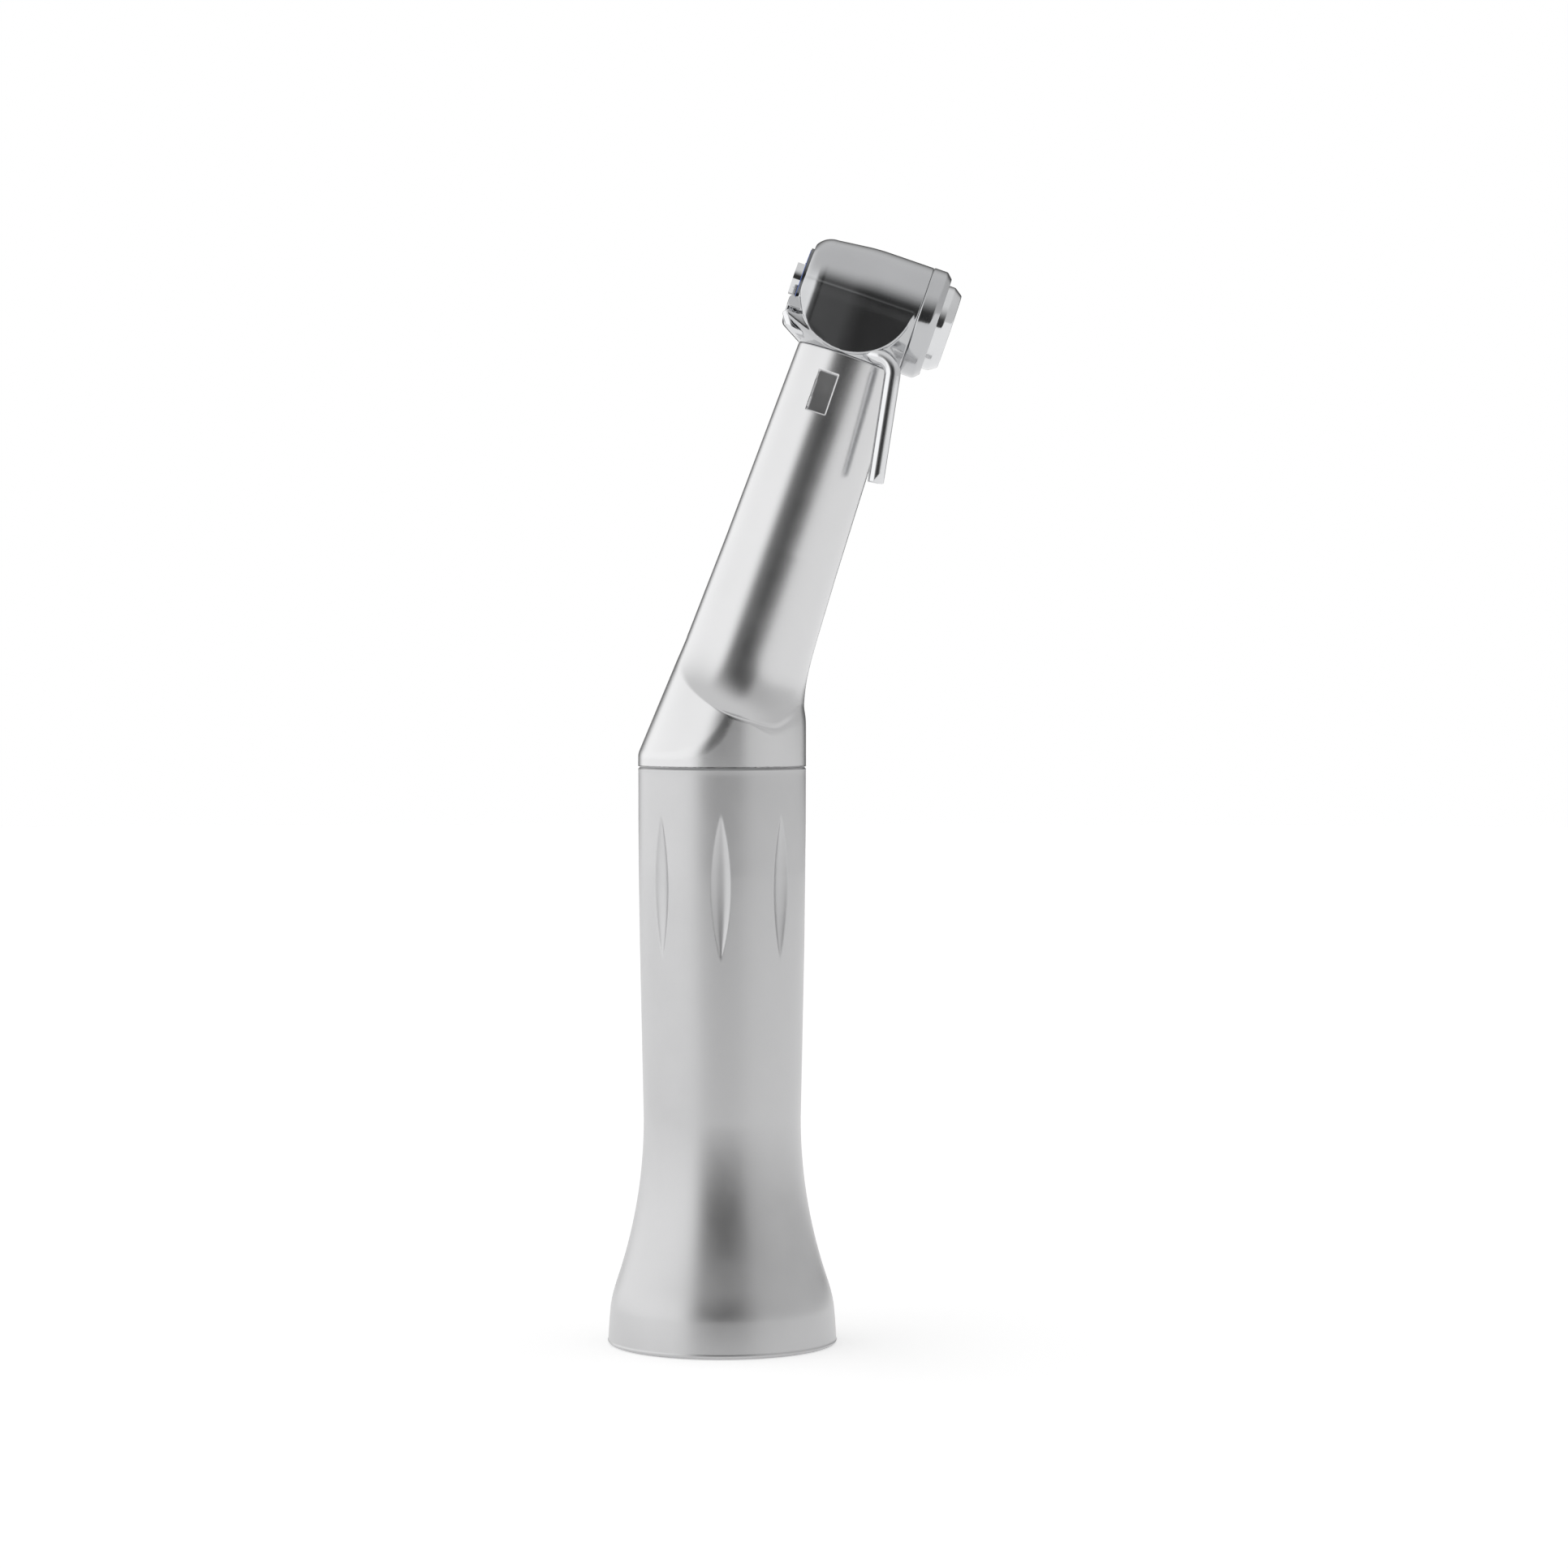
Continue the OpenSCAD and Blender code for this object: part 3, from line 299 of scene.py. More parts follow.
def newton_step(f, p, step):
    """How far to move points p along the slope of f so that f becomes zero."""
    e = step * 0.05
    value = f(p)
    grad = np.stack([(f(p + e * np.eye(3)[i]) - f(p - e * np.eye(3)[i])) / (2 * e) for i in range(3)], 1)
    return grad * (value / np.maximum((grad ** 2).sum(1), 0.2))[:, None]


# ======================= materials =======================

CLOUD_MM = 4.5


def node_of(tree, kind):
    return next(n for n in tree.nodes if n.type == kind)


def noise(tree, coords, size_mm, detail):
    """A noise texture with features of the given size, fixed to the object."""
    texture = tree.nodes.new("ShaderNodeTexNoise")
    texture.inputs["Scale"].default_value = 1 / (size_mm * MM)
    texture.inputs["Detail"].default_value = detail
    tree.links.new(coords.outputs["Object"], texture.inputs["Vector"])
    return texture


def metal(name, colour, rough, grain_mm, grain_bump, cloud=0.05, rough_spread=0.06):
    """Steel with blasted or ground grain: grain_mm is the grain's size, grain_bump its height in mm."""
    mat = bpy.data.materials.new(name)
    mat.use_nodes = True
    tree = mat.node_tree
    shader = node_of(tree, "BSDF_PRINCIPLED")
    shader.inputs["Metallic"].default_value = 1.0
    coords = tree.nodes.new("ShaderNodeTexCoord")
    grain = noise(tree, coords, grain_mm, 3)
    clouds = noise(tree, coords, CLOUD_MM, 4)
    # colour: the base with faint clouds and speckle from the grain
    mix = tree.nodes.new("ShaderNodeMath")
    mix.operation = "MULTIPLY_ADD"
    mix.inputs[1].default_value = 0.35
    tree.links.new(grain.outputs["Fac"], mix.inputs[0])
    tree.links.new(clouds.outputs["Fac"], mix.inputs[2])
    ramp = tree.nodes.new("ShaderNodeValToRGB")
    ramp.color_ramp.elements[0].position = 0.45
    ramp.color_ramp.elements[1].position = 0.95
    dark = [c * (1 - cloud) for c in colour]
    light = [min(1, c * (1 + cloud)) for c in colour]
    ramp.color_ramp.elements[0].color = (*dark, 1)
    ramp.color_ramp.elements[1].color = (*light, 1)
    tree.links.new(mix.outputs[0], ramp.inputs["Fac"])
    tree.links.new(ramp.outputs["Color"], shader.inputs["Base Color"])
    # roughness: varies with the same clouds
    span = tree.nodes.new("ShaderNodeMapRange")
    span.inputs["From Min"].default_value = 0.3
    span.inputs["From Max"].default_value = 0.7
    span.inputs["To Min"].default_value = rough - rough_spread / 2
    span.inputs["To Max"].default_value = rough + rough_spread / 2
    tree.links.new(clouds.outputs["Fac"], span.inputs["Value"])
    tree.links.new(span.outputs["Result"], shader.inputs["Roughness"])
    bump = tree.nodes.new("ShaderNodeBump")
    bump.inputs["Strength"].default_value = 0.5
    bump.inputs["Distance"].default_value = grain_bump * MM
    tree.links.new(grain.outputs["Fac"], bump.inputs["Height"])
    tree.links.new(bump.outputs["Normal"], shader.inputs["Normal"])
    return mat


def turned_metal(name, colour, rough, pitch_mm):
    """Steel with faint turning rings, one above another."""
    mat = metal(name, colour, rough, 0.12, 0.002)
    tree = mat.node_tree
    coords, bump = node_of(tree, "TEX_COORD"), node_of(tree, "BUMP")
    wave = tree.nodes.new("ShaderNodeTexWave")
    wave.wave_type = "BANDS"
    wave.bands_direction = "Z"
    wave.inputs["Scale"].default_value = 1 / (pitch_mm * MM * 2 * math.pi) * 2
    wave.inputs["Distortion"].default_value = 0.6
    tree.links.new(coords.outputs["Object"], wave.inputs["Vector"])
    second = tree.nodes.new("ShaderNodeBump")
    second.inputs["Strength"].default_value = 0.3
    second.inputs["Distance"].default_value = 0.004 * MM
    tree.links.new(wave.outputs["Fac"], second.inputs["Height"])
    tree.links.new(bump.outputs["Normal"], second.inputs["Normal"])
    tree.links.new(second.outputs["Normal"], node_of(tree, "BSDF_PRINCIPLED").inputs["Normal"])
    return mat


def plastic(name, colour, rough, coat):
    """Moulded plastic or rubber, under a clear coat of the given weight."""
    mat = metal(name, colour, rough, 0.2, 0.003, cloud=0.08)
    shader = node_of(mat.node_tree, "BSDF_PRINCIPLED")
    shader.inputs["Metallic"].default_value = 0.0
    shader.inputs["Coat Weight"].default_value = coat
    shader.inputs["Coat Roughness"].default_value = 0.08
    return mat


blasted = metal("blasted_steel", (0.53, 0.53, 0.535), 0.33, 0.09, 0.006, cloud=0.03)
silky = metal("silky_steel", (0.63, 0.63, 0.635), 0.23, 0.08, 0.002, cloud=0.02, rough_spread=0.04)
polished = metal("polished_steel", (0.5, 0.505, 0.515), 0.13, 0.15, 0.0012, cloud=0.03, rough_spread=0.05)
bright = metal("bright_steel", (0.68, 0.685, 0.695), 0.1, 0.15, 0.001, cloud=0.02, rough_spread=0.04)
machined = turned_metal("machined_steel", (0.5, 0.51, 0.53), 0.3, 0.18)
gear_steel = metal("gear_steel", (0.3, 0.31, 0.33), 0.28, 0.06, 0.003, cloud=0.1)
bearing = metal("bearing_steel", (0.62, 0.63, 0.65), 0.12, 0.2, 0.001)
wire = metal("spring_wire", (0.42, 0.43, 0.45), 0.22, 0.1, 0.002)
brass = turned_metal("brass", (0.78, 0.6, 0.26), 0.25, 0.2)
bronze = metal("bronze", (0.55, 0.36, 0.16), 0.38, 0.1, 0.006, cloud=0.15)
blue = plastic("blue_ring", (0.006, 0.09, 0.5), 0.3, 0.4)
rubber = plastic("black_rubber", (0.012, 0.012, 0.013), 0.6, 0.0)
dark_nut = metal("dark_nut", (0.16, 0.165, 0.175), 0.25, 0.1, 0.002)

SLOT_MATERIAL = {
    "satin_steel": blasted, "polished_steel": polished, "machined_steel": machined,
    "gear_steel": gear_steel, "bearing_steel": bearing, "spring_steel": wire,
    "brass": brass, "bronze": bronze, "blue_plastic": blue, "black_rubber": rubber,
}
for part in frame["record"]["subparts"]:
    obj = nodes[part["node"]]
    obj.data.materials.clear()
    obj.data.materials.append(SLOT_MATERIAL[part["material_slot"]])
nodes["face_nut"].data.materials[0] = dark_nut
nodes["chuck_spindle"].data.materials[0] = bright


# ======================= grip =======================

BASE_R, WAIST_R, WAIST_Z, FLARE_R, GRIP_R, SEAM_Z = 10.0, 6.85, 19.5, 43.2, 7.3, 50.2
RIM_Z, SHOULDER_Z, TAPER_LENGTH = 1.6, 4.2, 21.5
GRIP_BORE_R, RELIEF_R, RELIEF_Z, FOOT_ROUND = 6.2, 8.4, 5.0, 0.28
GROOVE = 0.16
FLUTES, FLUTE_LENGTH, FLUTE_DEPTH, FLUTE_WIDTH, FLUTE_Z = 8, 12.5, 0.34, 1.7, 40.0


def grip_radius(z):
    """Outside radius of the grip at height z, with a soft shoulder above the rim."""
    flare = WAIST_R + FLARE_R - np.sqrt(FLARE_R ** 2 - np.clip(WAIST_Z - z, 0, None) ** 2)
    taper = WAIST_R + (GRIP_R - WAIST_R) * np.clip((z - WAIST_Z) / TAPER_LENGTH, 0, 1)
    body = np.where(z < WAIST_Z, flare, smooth_min(taper, GRIP_R + 0 * z, 0.06))
    shoulder_r = WAIST_R + FLARE_R - math.sqrt(FLARE_R ** 2 - (WAIST_Z - SHOULDER_Z) ** 2)
    slope = BASE_R + (shoulder_r - BASE_R) * (z - RIM_Z) / (SHOULDER_Z - RIM_Z)
    rim = smooth_min(slope, BASE_R + 0 * z, 0.5)
    return np.where(z < SHOULDER_Z + 2, smooth_min(body, rim, 0.35), body)


def make_grip():
    """The grip sleeve: a turned outline with the flutes pressed into it."""
    columns = 576
    heights = np.concatenate([
        np.linspace(0.35, 7, 60, endpoint=False), np.linspace(7, 33.4, 80, endpoint=False),
        np.linspace(33.4, 46.6, 130, endpoint=False), np.linspace(46.6, SEAM_Z - GROOVE, 12)])
    outer = [(grip_radius(np.array([z]))[0], z) for z in heights]
    lip = rounded([(GRIP_R - 0.02, SEAM_Z - 2 * GROOVE), (GRIP_R, SEAM_Z - GROOVE), (GRIP_R - GROOVE, SEAM_Z),
                   (GRIP_BORE_R, SEAM_Z)], 0.06)[:-1]
    inner = [(GRIP_BORE_R, SEAM_Z), (GRIP_BORE_R, RELIEF_Z), (RELIEF_R, RELIEF_Z), (RELIEF_R, 0.12),
             (RELIEF_R + 0.12, 0.0)]
    foot_r = BASE_R - FOOT_ROUND
    foot = [(foot_r, 0.0)] + [(foot_r + FOOT_ROUND * math.sin(a), FOOT_ROUND - FOOT_ROUND * math.cos(a))
                              for a in np.linspace(0.3, 1.5, 5)]
    profile = np.array(foot + outer[:-1] + [tuple(p) for p in lip if p[1] > SEAM_Z - 1.5 * GROOVE] + inner)
    turn = np.linspace(0, 2 * math.pi, columns, endpoint=False)
    r = np.repeat(profile[:, :1], columns, axis=1)
    z = np.repeat(profile[:, 1:], columns, axis=1)
    # flutes: pointed lens shapes, a shallow trough with a crisp rim
    pitch = 2 * math.pi / FLUTES
    off = (turn + pitch / 2) % pitch - pitch / 2
    across = off[None, :] * GRIP_R
    along = (z - FLUTE_Z) / (FLUTE_LENGTH / 2)
    reach = np.clip(1 - along ** 2, 0, None)
    width = np.maximum(FLUTE_WIDTH / 2 * reach, 1e-6)
    trough = np.clip(1 - (across / width) ** 2, 0, None)
    outside = np.arange(len(profile)) < len(foot) + len(outer)
    r = r - outside[:, None] * FLUTE_DEPTH * reach * trough
    points = on_handle((r * np.cos(turn)).ravel(), (r * np.sin(turn)).ravel(), z.ravel())
    grip = new_piece("grip_body", points, grid_faces(len(profile), columns, True), "handpiece",
                     blasted, ["grip_sleeve"])
    split_sharp(grip, 40)


make_grip()


# ======================= elbow and neck =======================

NECK_TOP_R, NECK_ROOT_R = 4.57, 5.425
MIDDLE_U, MIDDLE_R = 16.0, NECK_TOP_R + 0.6 * (NECK_ROOT_R - NECK_TOP_R)
FOOT_U, FOOT_R = -4, NECK_ROOT_R + 0.46
ELBOW_R, ELBOW_OFFSET, DRAFT = 7.3, 1.54, 0.064
POCKET_U, POCKET_V, POCKET_W, POCKET_H, POCKET_D = 30.1, -1.2, 1.6, 3.5, 0.6
SOCKET_U, SOCKET_R, NECK_BORE_R = 31.0, 3.92, 3.15
GEAR_ROOM_U, GEAR_ROOM_R, SPIGOT_R = 2.8, 4.8, 5.25


def neck_distance(p):
    """Roughly the distance outside the elbow and neck at points p in mm."""
    q = p - ELBOW
    x, y, u = q @ V, p[:, 1], q @ U
    r = np.hypot(x, y)
    # the flare is tight on the bur side and slow on the button side
    turn = np.clip((x / np.maximum(r, 0.1) - 0.3) / 0.65, 0, 1)
    turn = turn * turn * (3 - 2 * turn)
    root_u, blend_r = 4.9 + 3.7 * turn, 5 + 13 * turn
    upper = np.interp(u, [FOOT_U, MIDDLE_U, NECK_LENGTH], [FOOT_R, MIDDLE_R, NECK_TOP_R])
    low = np.clip(smooth_max(root_u - u, 0 * u, 3.2), 0, blend_r * 0.98)
    flare = NECK_ROOT_R + blend_r - np.sqrt(blend_r ** 2 - low ** 2)
    neck = r - (upper + flare - NECK_ROOT_R)
    handle = np.hypot(p[:, 0], p[:, 1]) - GRIP_R
    rise = np.clip((p[:, 0] - 4.3) / 3, 0, 1)
    top_z = ELBOW[2] + 1.5 - 0.33 * p[:, 0] + 2.0 * rise * rise * (3 - 2 * rise)
    collar = smooth_max(handle, (p[:, 2] - top_z) * 0.8, 0.2 + 0.9 * rise)
    cone = np.hypot(x - ELBOW_OFFSET, y) - (ELBOW_R + DRAFT * 2 - DRAFT * u)
    body = smooth_min(neck, collar, 0.15 + 0.6 * turn)
    body = smooth_max(body, np.where(u > 6.5, neck - 1, cone), 0.08)
    body = smooth_max(body, handle - 0.45 * np.clip(u - 5, 0, None), 0.12)
    # side pockets with rounded edges
    gap = np.maximum.reduce([np.abs(x - POCKET_V) - POCKET_W / 2, np.abs(u - POCKET_U) - POCKET_H / 2,
                             NECK_TOP_R - POCKET_D - np.abs(y)])
    return smooth_max(body, -gap, 0.16)


def make_neck():
    """Elbow and neck: rings that turn from level to square on the neck, then run up it, each pushed
    out to the surface by bisection."""
    columns = 640
    pivot_x = (8 + 3.4 * U[2]) / U[0]
    pivot = np.array([pivot_x, 0, SEAM_Z])
    levels = [("turn", t) for t in np.linspace(0, 1, 170)]
    levels += [("along", u) for u in np.concatenate([
        np.linspace(8, 27.6, 110)[1:], np.linspace(27.6, 32.5, 80)[1:],
        np.linspace(32.5, NECK_LENGTH, 10)[1:]])]
    turn = np.linspace(0, 2 * math.pi, columns, endpoint=False)
    cos, sin = np.cos(turn)[:, None], np.sin(turn)[:, None]
    rows = []
    for kind, value in levels:
        if kind == "turn":
            tilt = BEND * value
            across = np.array([math.cos(tilt), 0, -math.sin(tilt)])
            normal = np.array([math.sin(tilt), 0, math.cos(tilt)])
            t_handle = pivot_x * math.tan(tilt) + SEAM_Z
            if t_handle <= ELBOW[2]:
                centre = np.array([0, 0, t_handle])
            else:
                centre = ELBOW + U * ((pivot - ELBOW) @ normal) / (U @ normal)
        else:
            across, centre = V, ELBOW + value * U
        direction = cos * across + sin * Y
        low, high = np.full(columns, 2.5), np.full(columns, 11.0)
        for _ in range(22):
            mid = (low + high) / 2
            outside = neck_distance(centre + mid[:, None] * direction) > 0
            high = np.where(outside, mid, high)
            low = np.where(outside, low, mid)
        rows.append((centre, direction, ((low + high) / 2)[:, None]))
    rings = [c + r * d for c, d, r in rows]
    # seam chamfer below, fine chamfer at the head seam, then the bore on the way back down
    c, d, r = rows[0]
    foot = [c + (r - GROOVE) * d, c + (r - GROOVE * 0.35) * d + [0, 0, 0.06]]
    rings[0] = c + r * d + [0, 0, GROOVE]
    c, d, r = rows[-1]
    rings[-1] = c - 0.1 * U + r * d
    rings.append(c + (r - 0.1) * d)
    bore = [c + SOCKET_R * d]
    for u, radius in ((SOCKET_U, SOCKET_R), (SOCKET_U - 0.1, NECK_BORE_R), (GEAR_ROOM_U + 0.1, NECK_BORE_R),
                      (GEAR_ROOM_U, GEAR_ROOM_R)):
        bore.append(ELBOW + u * U + radius * (cos * V + sin * Y))
    flat = np.stack([np.cos(turn), np.sin(turn), 0 * turn], 1)
    bore.append(ELBOW + [0, 0, -0.6] + GEAR_ROOM_R * flat)
    bore.append(np.array([0, 0, SEAM_Z]) + SPIGOT_R * flat)
    rings = foot + rings + bore
    obj = new_piece("neck_body", np.concatenate(rings), grid_faces(len(rings), columns, True), "handpiece",
                    silky, ["neck_shell"])
    split_sharp(obj, 50)


make_neck()


# ======================= head =======================

HEAD_R, CAP_SEAM, BUR_FACE, CHEEK_R, CHEEK_V = 4.75, 4.45, 6.1, 5.0, -0.925
FRONT_R, CORNER_R = 4.33, 1.9
FACE_SEAT_R, CAVITY_R, CAP_SEAT_R, PINION_ROOM_R = 3.3, 3.2, 4.15, 2.6
NET_STEP = 0.085


def barrel_radius(v):
    """Radius of the head's barrel, which narrows a little towards the bur side."""
    taper = FRONT_R + (HEAD_R - FRONT_R) * (v + BUR_FACE - CORNER_R) / 3.6
    return smooth_min(taper, HEAD_R + 0 * v, 0.12)


def head_distance(h):
    """Roughly the distance outside the head housing. h holds (down the neck, sideways, along the head)."""
    a, y, v = h[:, 0], h[:, 1], h[:, 2]
    corner_v = CORNER_R - BUR_FACE
    width = barrel_radius(v)

    def round_front(r):
        return np.where(v > corner_v, r - width,
                        np.hypot(np.maximum(r - (FRONT_R - CORNER_R), 0), corner_v - v) - CORNER_R)

    barrel = round_front(np.hypot(a, y))
    flank = round_front(np.abs(y))
    cheek = smooth_max(flank, np.hypot(a, v - CHEEK_V) - CHEEK_R, 0.12)
    cheek = smooth_max(cheek, -a - 0.2, 0.3)
    rise = HEAD_U - NECK_LENGTH
    cheek = smooth_max(cheek, a - rise, 0.05)
    neck_r = np.hypot(v, y)
    collar = np.maximum(neck_r - NECK_TOP_R, 1 - a)
    hump = smooth_max(np.hypot(a - (rise - 0.2), y) - 4.4, np.maximum(-BUR_FACE - 0.45 - v, v), 0.35)
    hump = smooth_max(hump, (neck_r - NECK_TOP_R - 1.8 * (rise - a)) * 0.49, 0.3)
    body = smooth_min(smooth_min(barrel, cheek, 0.12), collar, 0.2)
    body = smooth_min(body, hump, 0.18)
    body = smooth_max(body, np.maximum(a - rise, v - CAP_SEAM), 0.1)
    # front opening, cavity, neck tube bore and nozzle recess
    opening = np.maximum(np.hypot(a, y) - FACE_SEAT_R, v + 5.6)
    cavity = np.maximum(np.hypot(a, y) - CAVITY_R, np.maximum(-5.7 - v, v - 4.2))
    cavity = np.minimum(cavity, np.maximum(np.hypot(a, y) - CAP_SEAT_R, 3.3 - v))
    bore = np.maximum(neck_r - NECK_BORE_R, 3.0 - a)
    bore = np.minimum(bore, np.maximum(neck_r - PINION_ROOM_R, -a))
    lean = math.radians(20)
    du, dy = (rise - 1.1) - a, y + 2.9
    s = du * math.cos(lean) - dy * math.sin(lean)
    t = du * math.sin(lean) + dy * math.cos(lean)
    recess = np.hypot(np.maximum(np.abs(s) - 0.75, 0), t) - 0.8
    recess = np.maximum(recess, v + BUR_FACE - 1.6)
    body = smooth_max(body, -opening, 0.14)
    body = smooth_max(body, -recess, 0.14)
    return np.maximum(body, -np.minimum(cavity, bore))


points, faces = surface_net(head_distance, (-5.2, -5.2, -7.0), (5.35, 5.2, 4.9), NET_STEP)
new_piece("head_body", on_head(points[:, 0], points[:, 1], points[:, 2]), faces, "handpiece",
          polished, ["head_housing"])

# ---- cap, button and blue ring: outlines of radius and distance along the head ----

cap = densify(rounded([
    (4.15, 3.3), (4.15, 4.44), (4.72, 4.46), (4.8, 4.56), (4.8, 5.7), (4.32, 6.2), (3.86, 6.2), (3.8, 6.1),
    (3.8, 5.99), (4.1, 5.99), (4.1, 4.6), (3.2, 4.5), (3.2, 3.3)],
    [0, 0, 0.03, 0.05, 0.3, 0.18, 0.03, 0.03, 0, 0, 0, 0, 0]), 0.4)
points, faces = lathe(cap, 192, on_head)
cap_piece = new_piece("cap_body", points, faces, "handpiece", polished, ["head_cap"])
split_sharp(cap_piece, 45)

dish = [(r, 7.5 - 0.22 + r * r / 28) for r in (2.4, 2.0, 1.5, 1.0, 0.5, 0.04)]
button = rounded([(0.04, 6.6), (3.35, 6.6), (3.35, 5.6), (4.05, 5.6), (4.05, 5.94), (3.75, 5.94),
                  (3.75, 6.75), (3.25, 7.48), (2.75, 7.5)] + dish,
                 [0, 0.1, 0.05, 0.03, 0.03, 0.05, 0.25, 0.22, 0.12] + [0] * len(dish))
points, faces = lathe(densify(button, 0.35), 160, on_head)
button_piece = new_piece("button_body", points, faces, "button", bright, ["push_button"])
split_sharp(button_piece, 45)
plunger = rounded([(0.02, 5.85), (0.8, 5.85), (1.2, 6.58), (0.02, 6.58)], [0, 0.1, 0.05, 0])
points, faces = lathe(plunger, 48, on_head)
new_piece("button_cone", points, faces, "button", bright)

ring = rounded([(1.74, -6.15), (1.74, -5.85), (2.84, -5.85), (2.84, -6.15)][::-1], [0.06, 0.02, 0.02, 0.06])
points, faces = lathe(densify(ring, 0.2), 128, on_head)
new_piece("seal_ring_body", points, [f[::-1] for f in faces], "handpiece", blue,
          ["face_seal_ring"])

# ======================= irrigation tube and nozzle =======================


def neck_point(p):
    """A point given from the top of the neck: towards the button, sideways, along the neck."""
    return ELBOW + p[0] * V + p[1] * Y + (NECK_LENGTH + p[2]) * U


def tube_lip(r, bore, depth):
    """Outline from inside a tube's bore round its rounded end and a little way along the wall."""
    mid, half = (r + bore) / 2, (r - bore) / 2
    return [(bore, depth)] + [(mid + half * math.cos(t), half - half * math.sin(t))
                              for t in np.linspace(math.pi, 0, 9)]


def make_tube(name, ends, bend_r, r, bore, depth, node):
    """A bent tube through three points, open at its first end."""
    path = tube_path(*(neck_point(p) for p in ends), bend_r, 24)
    length = np.linalg.norm(np.diff(np.array(path), axis=0), axis=1)
    straight = length[0]
    bend = length[1:-1].sum()
    outline = tube_lip(r, bore, depth) + [(r, s) for s in np.linspace(1.2 * r, straight, 12)]
    outline += [(r, s) for s in np.linspace(straight, straight + bend, 25)[1:]]
    outline.append((r, straight + bend + length[-1]))
    points, faces = swept_tube(path, outline, 48)
    new_piece(name, points, faces, "handpiece", bright, [node])


make_tube("tube_body", ((5.65, -4.6, -9.6), (3.8, -4.66, 0.77), (0.9, -3.8, 0.77)), 1.5, 0.7, 0.45, 6.0,
          "irrigation_tube")
make_tube("nozzle_body", ((-6.3, -2.6, 2.05), (-5.4, -3.0, 0.77), (-3.3, -2.6, 0.77)), 0.8, 0.5, 0.3, 0.9,
          "spray_nozzle")


# ======================= studio =======================

SIDE_LEVELS = [(0.0, 1.35), (0.16, 1.35), (0.32, 0.16), (0.5, 0.04), (0.68, 0.1), (0.84, 0.62), (1.0, 0.7)]
CEILING_LEVEL = 0.85
EYE_Y, EYE_Z, AIM_Z = -0.36, 0.0588, 0.0487


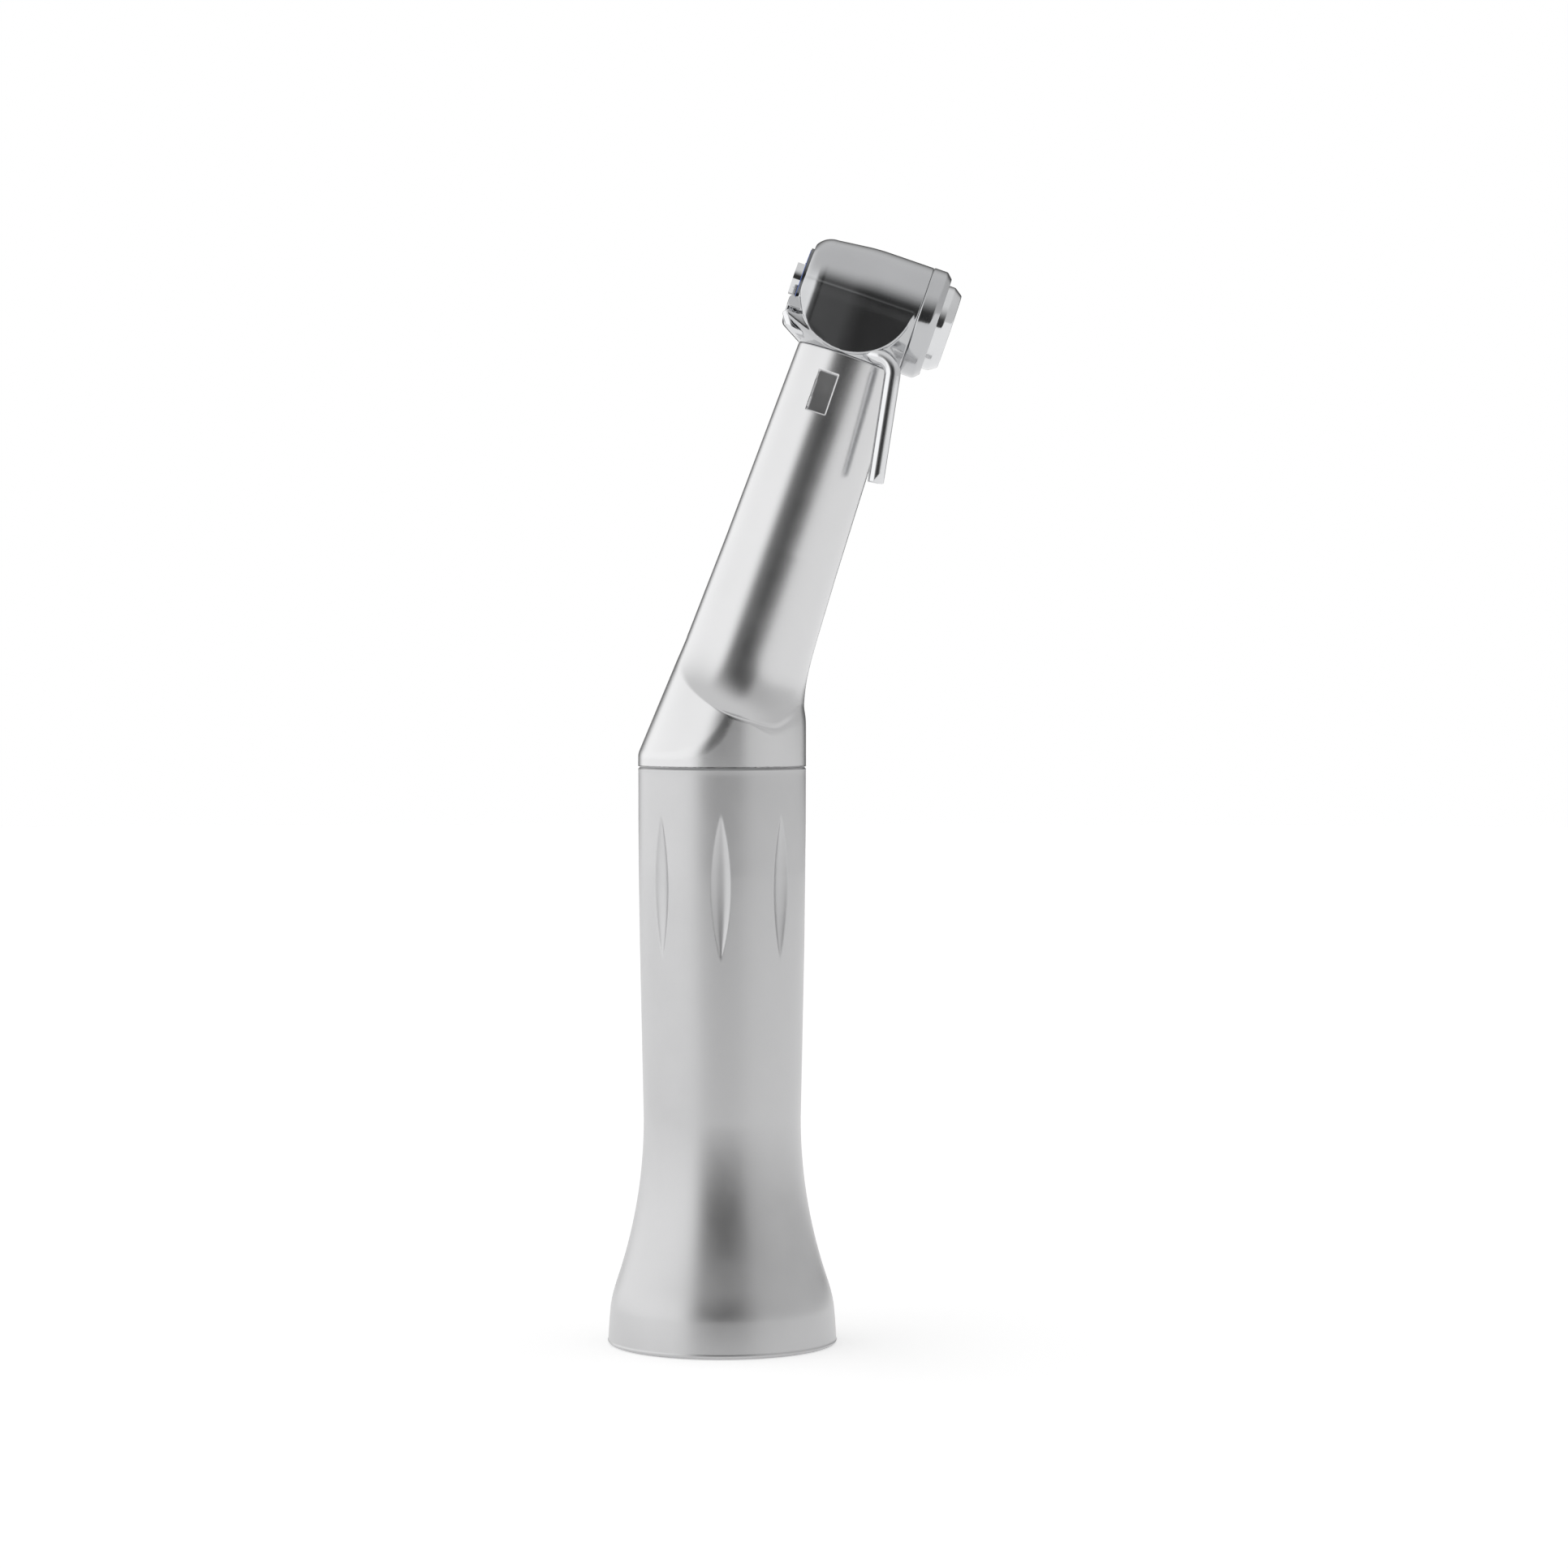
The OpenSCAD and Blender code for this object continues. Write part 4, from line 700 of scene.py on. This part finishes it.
def studio():
    """A soft surround that only lights the object; the camera itself sees plain white."""
    scene = bpy.context.scene
    scene.view_settings.view_transform = "Standard"
    world = bpy.data.worlds.new("studio")
    scene.world = world
    world.use_nodes = True
    tree = world.node_tree
    tree.nodes.clear()
    out = tree.nodes.new("ShaderNodeOutputWorld")
    coords = tree.nodes.new("ShaderNodeTexCoord")
    split = tree.nodes.new("ShaderNodeSeparateXYZ")
    tree.links.new(coords.outputs["Generated"], split.inputs[0])

    def math_node(op, a, b=None, c=None):
        n = tree.nodes.new("ShaderNodeMath")
        n.operation = op
        for i, value in enumerate((a, b, c)):
            if value is None:
                continue
            if isinstance(value, (int, float)):
                n.inputs[i].default_value = value
            else:
                tree.links.new(value, n.inputs[i])
        return n.outputs[0]

    # round the horizon: dark in front of and behind the object, bright at its two sides
    side = math_node("DIVIDE", split.outputs["X"], math_node("MAXIMUM", math_node("POWER", math_node(
        "ADD", math_node("MULTIPLY", split.outputs["X"], split.outputs["X"]),
        math_node("MULTIPLY", split.outputs["Y"], split.outputs["Y"])), 0.5), 0.001))
    # stops run from -X (0) over the front and back (0.5) to +X (1)
    ramp = tree.nodes.new("ShaderNodeValToRGB")
    ramp.color_ramp.interpolation = "EASE"
    levels = ramp.color_ramp.elements
    while len(levels) < len(SIDE_LEVELS):
        levels.new(0.5)
    for level, (at, value) in zip(levels, SIDE_LEVELS):
        level.position = at
        level.color = (value, value, value, 1)
    tree.links.new(math_node("MULTIPLY_ADD", side, 0.5, 0.5), ramp.inputs["Fac"])
    # towards the ceiling it is evenly bright
    above = tree.nodes.new("ShaderNodeMapRange")
    above.interpolation_type = "SMOOTHSTEP"
    above.inputs["From Min"].default_value = 0.25
    above.inputs["From Max"].default_value = 0.85
    tree.links.new(split.outputs["Z"], above.inputs["Value"])
    mix = tree.nodes.new("ShaderNodeMix")
    mix.data_type = "FLOAT"
    tree.links.new(above.outputs["Result"], mix.inputs[0])
    tree.links.new(ramp.outputs["Color"], mix.inputs[2])
    mix.inputs[3].default_value = CEILING_LEVEL
    lit = tree.nodes.new("ShaderNodeBackground")
    lit.inputs["Color"].default_value = (1, 1, 1, 1)
    tree.links.new(mix.outputs[0], lit.inputs["Strength"])
    seen = tree.nodes.new("ShaderNodeBackground")
    seen.inputs["Color"].default_value = (1, 1, 1, 1)
    path = tree.nodes.new("ShaderNodeLightPath")
    both = tree.nodes.new("ShaderNodeMixShader")
    tree.links.new(path.outputs["Is Camera Ray"], both.inputs[0])
    tree.links.new(lit.outputs[0], both.inputs[1])
    tree.links.new(seen.outputs[0], both.inputs[2])
    tree.links.new(both.outputs[0], out.inputs["Surface"])


def floor():
    """A pale round floor, a hair below the object's foot."""
    columns, radius, level = 96, 1.2, -0.00002
    turns = [2 * math.pi * k / columns for k in range(columns)]
    mesh = bpy.data.meshes.new("floor")
    mesh.from_pydata([(radius * math.cos(t), radius * math.sin(t), level) for t in turns], [],
                     [tuple(range(columns))])
    obj = bpy.data.objects.new("floor", mesh)
    bpy.context.scene.collection.objects.link(obj)
    mat = bpy.data.materials.new("floor")
    mat.use_nodes = True
    shader = node_of(mat.node_tree, "BSDF_PRINCIPLED")
    shader.inputs["Base Color"].default_value = (0.82, 0.82, 0.82, 1)
    shader.inputs["Roughness"].default_value = 0.75
    shader.inputs["Emission Color"].default_value = (1, 1, 1, 1)
    shader.inputs["Emission Strength"].default_value = 0.4
    obj.data.materials.append(mat)
    obj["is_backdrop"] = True


def camera():
    """Level with the middle of the object, looking at its left side along +Y."""
    data = bpy.data.cameras.new("camera")
    data.sensor_width = 36
    data.lens = 95
    data.clip_start, data.clip_end = 0.01, 10
    cam = bpy.data.objects.new("camera", data)
    bpy.context.scene.collection.objects.link(cam)
    low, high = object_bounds()
    middle_x = (low.x + high.x) / 2
    cam.location = (middle_x, EYE_Y, EYE_Z)
    target = Vector((middle_x, 0, AIM_Z))
    cam.rotation_mode = "QUATERNION"
    cam.rotation_quaternion = (target - cam.location).to_track_quat("-Z", "Y")
    bpy.context.scene.camera = cam


studio()
floor()
camera()
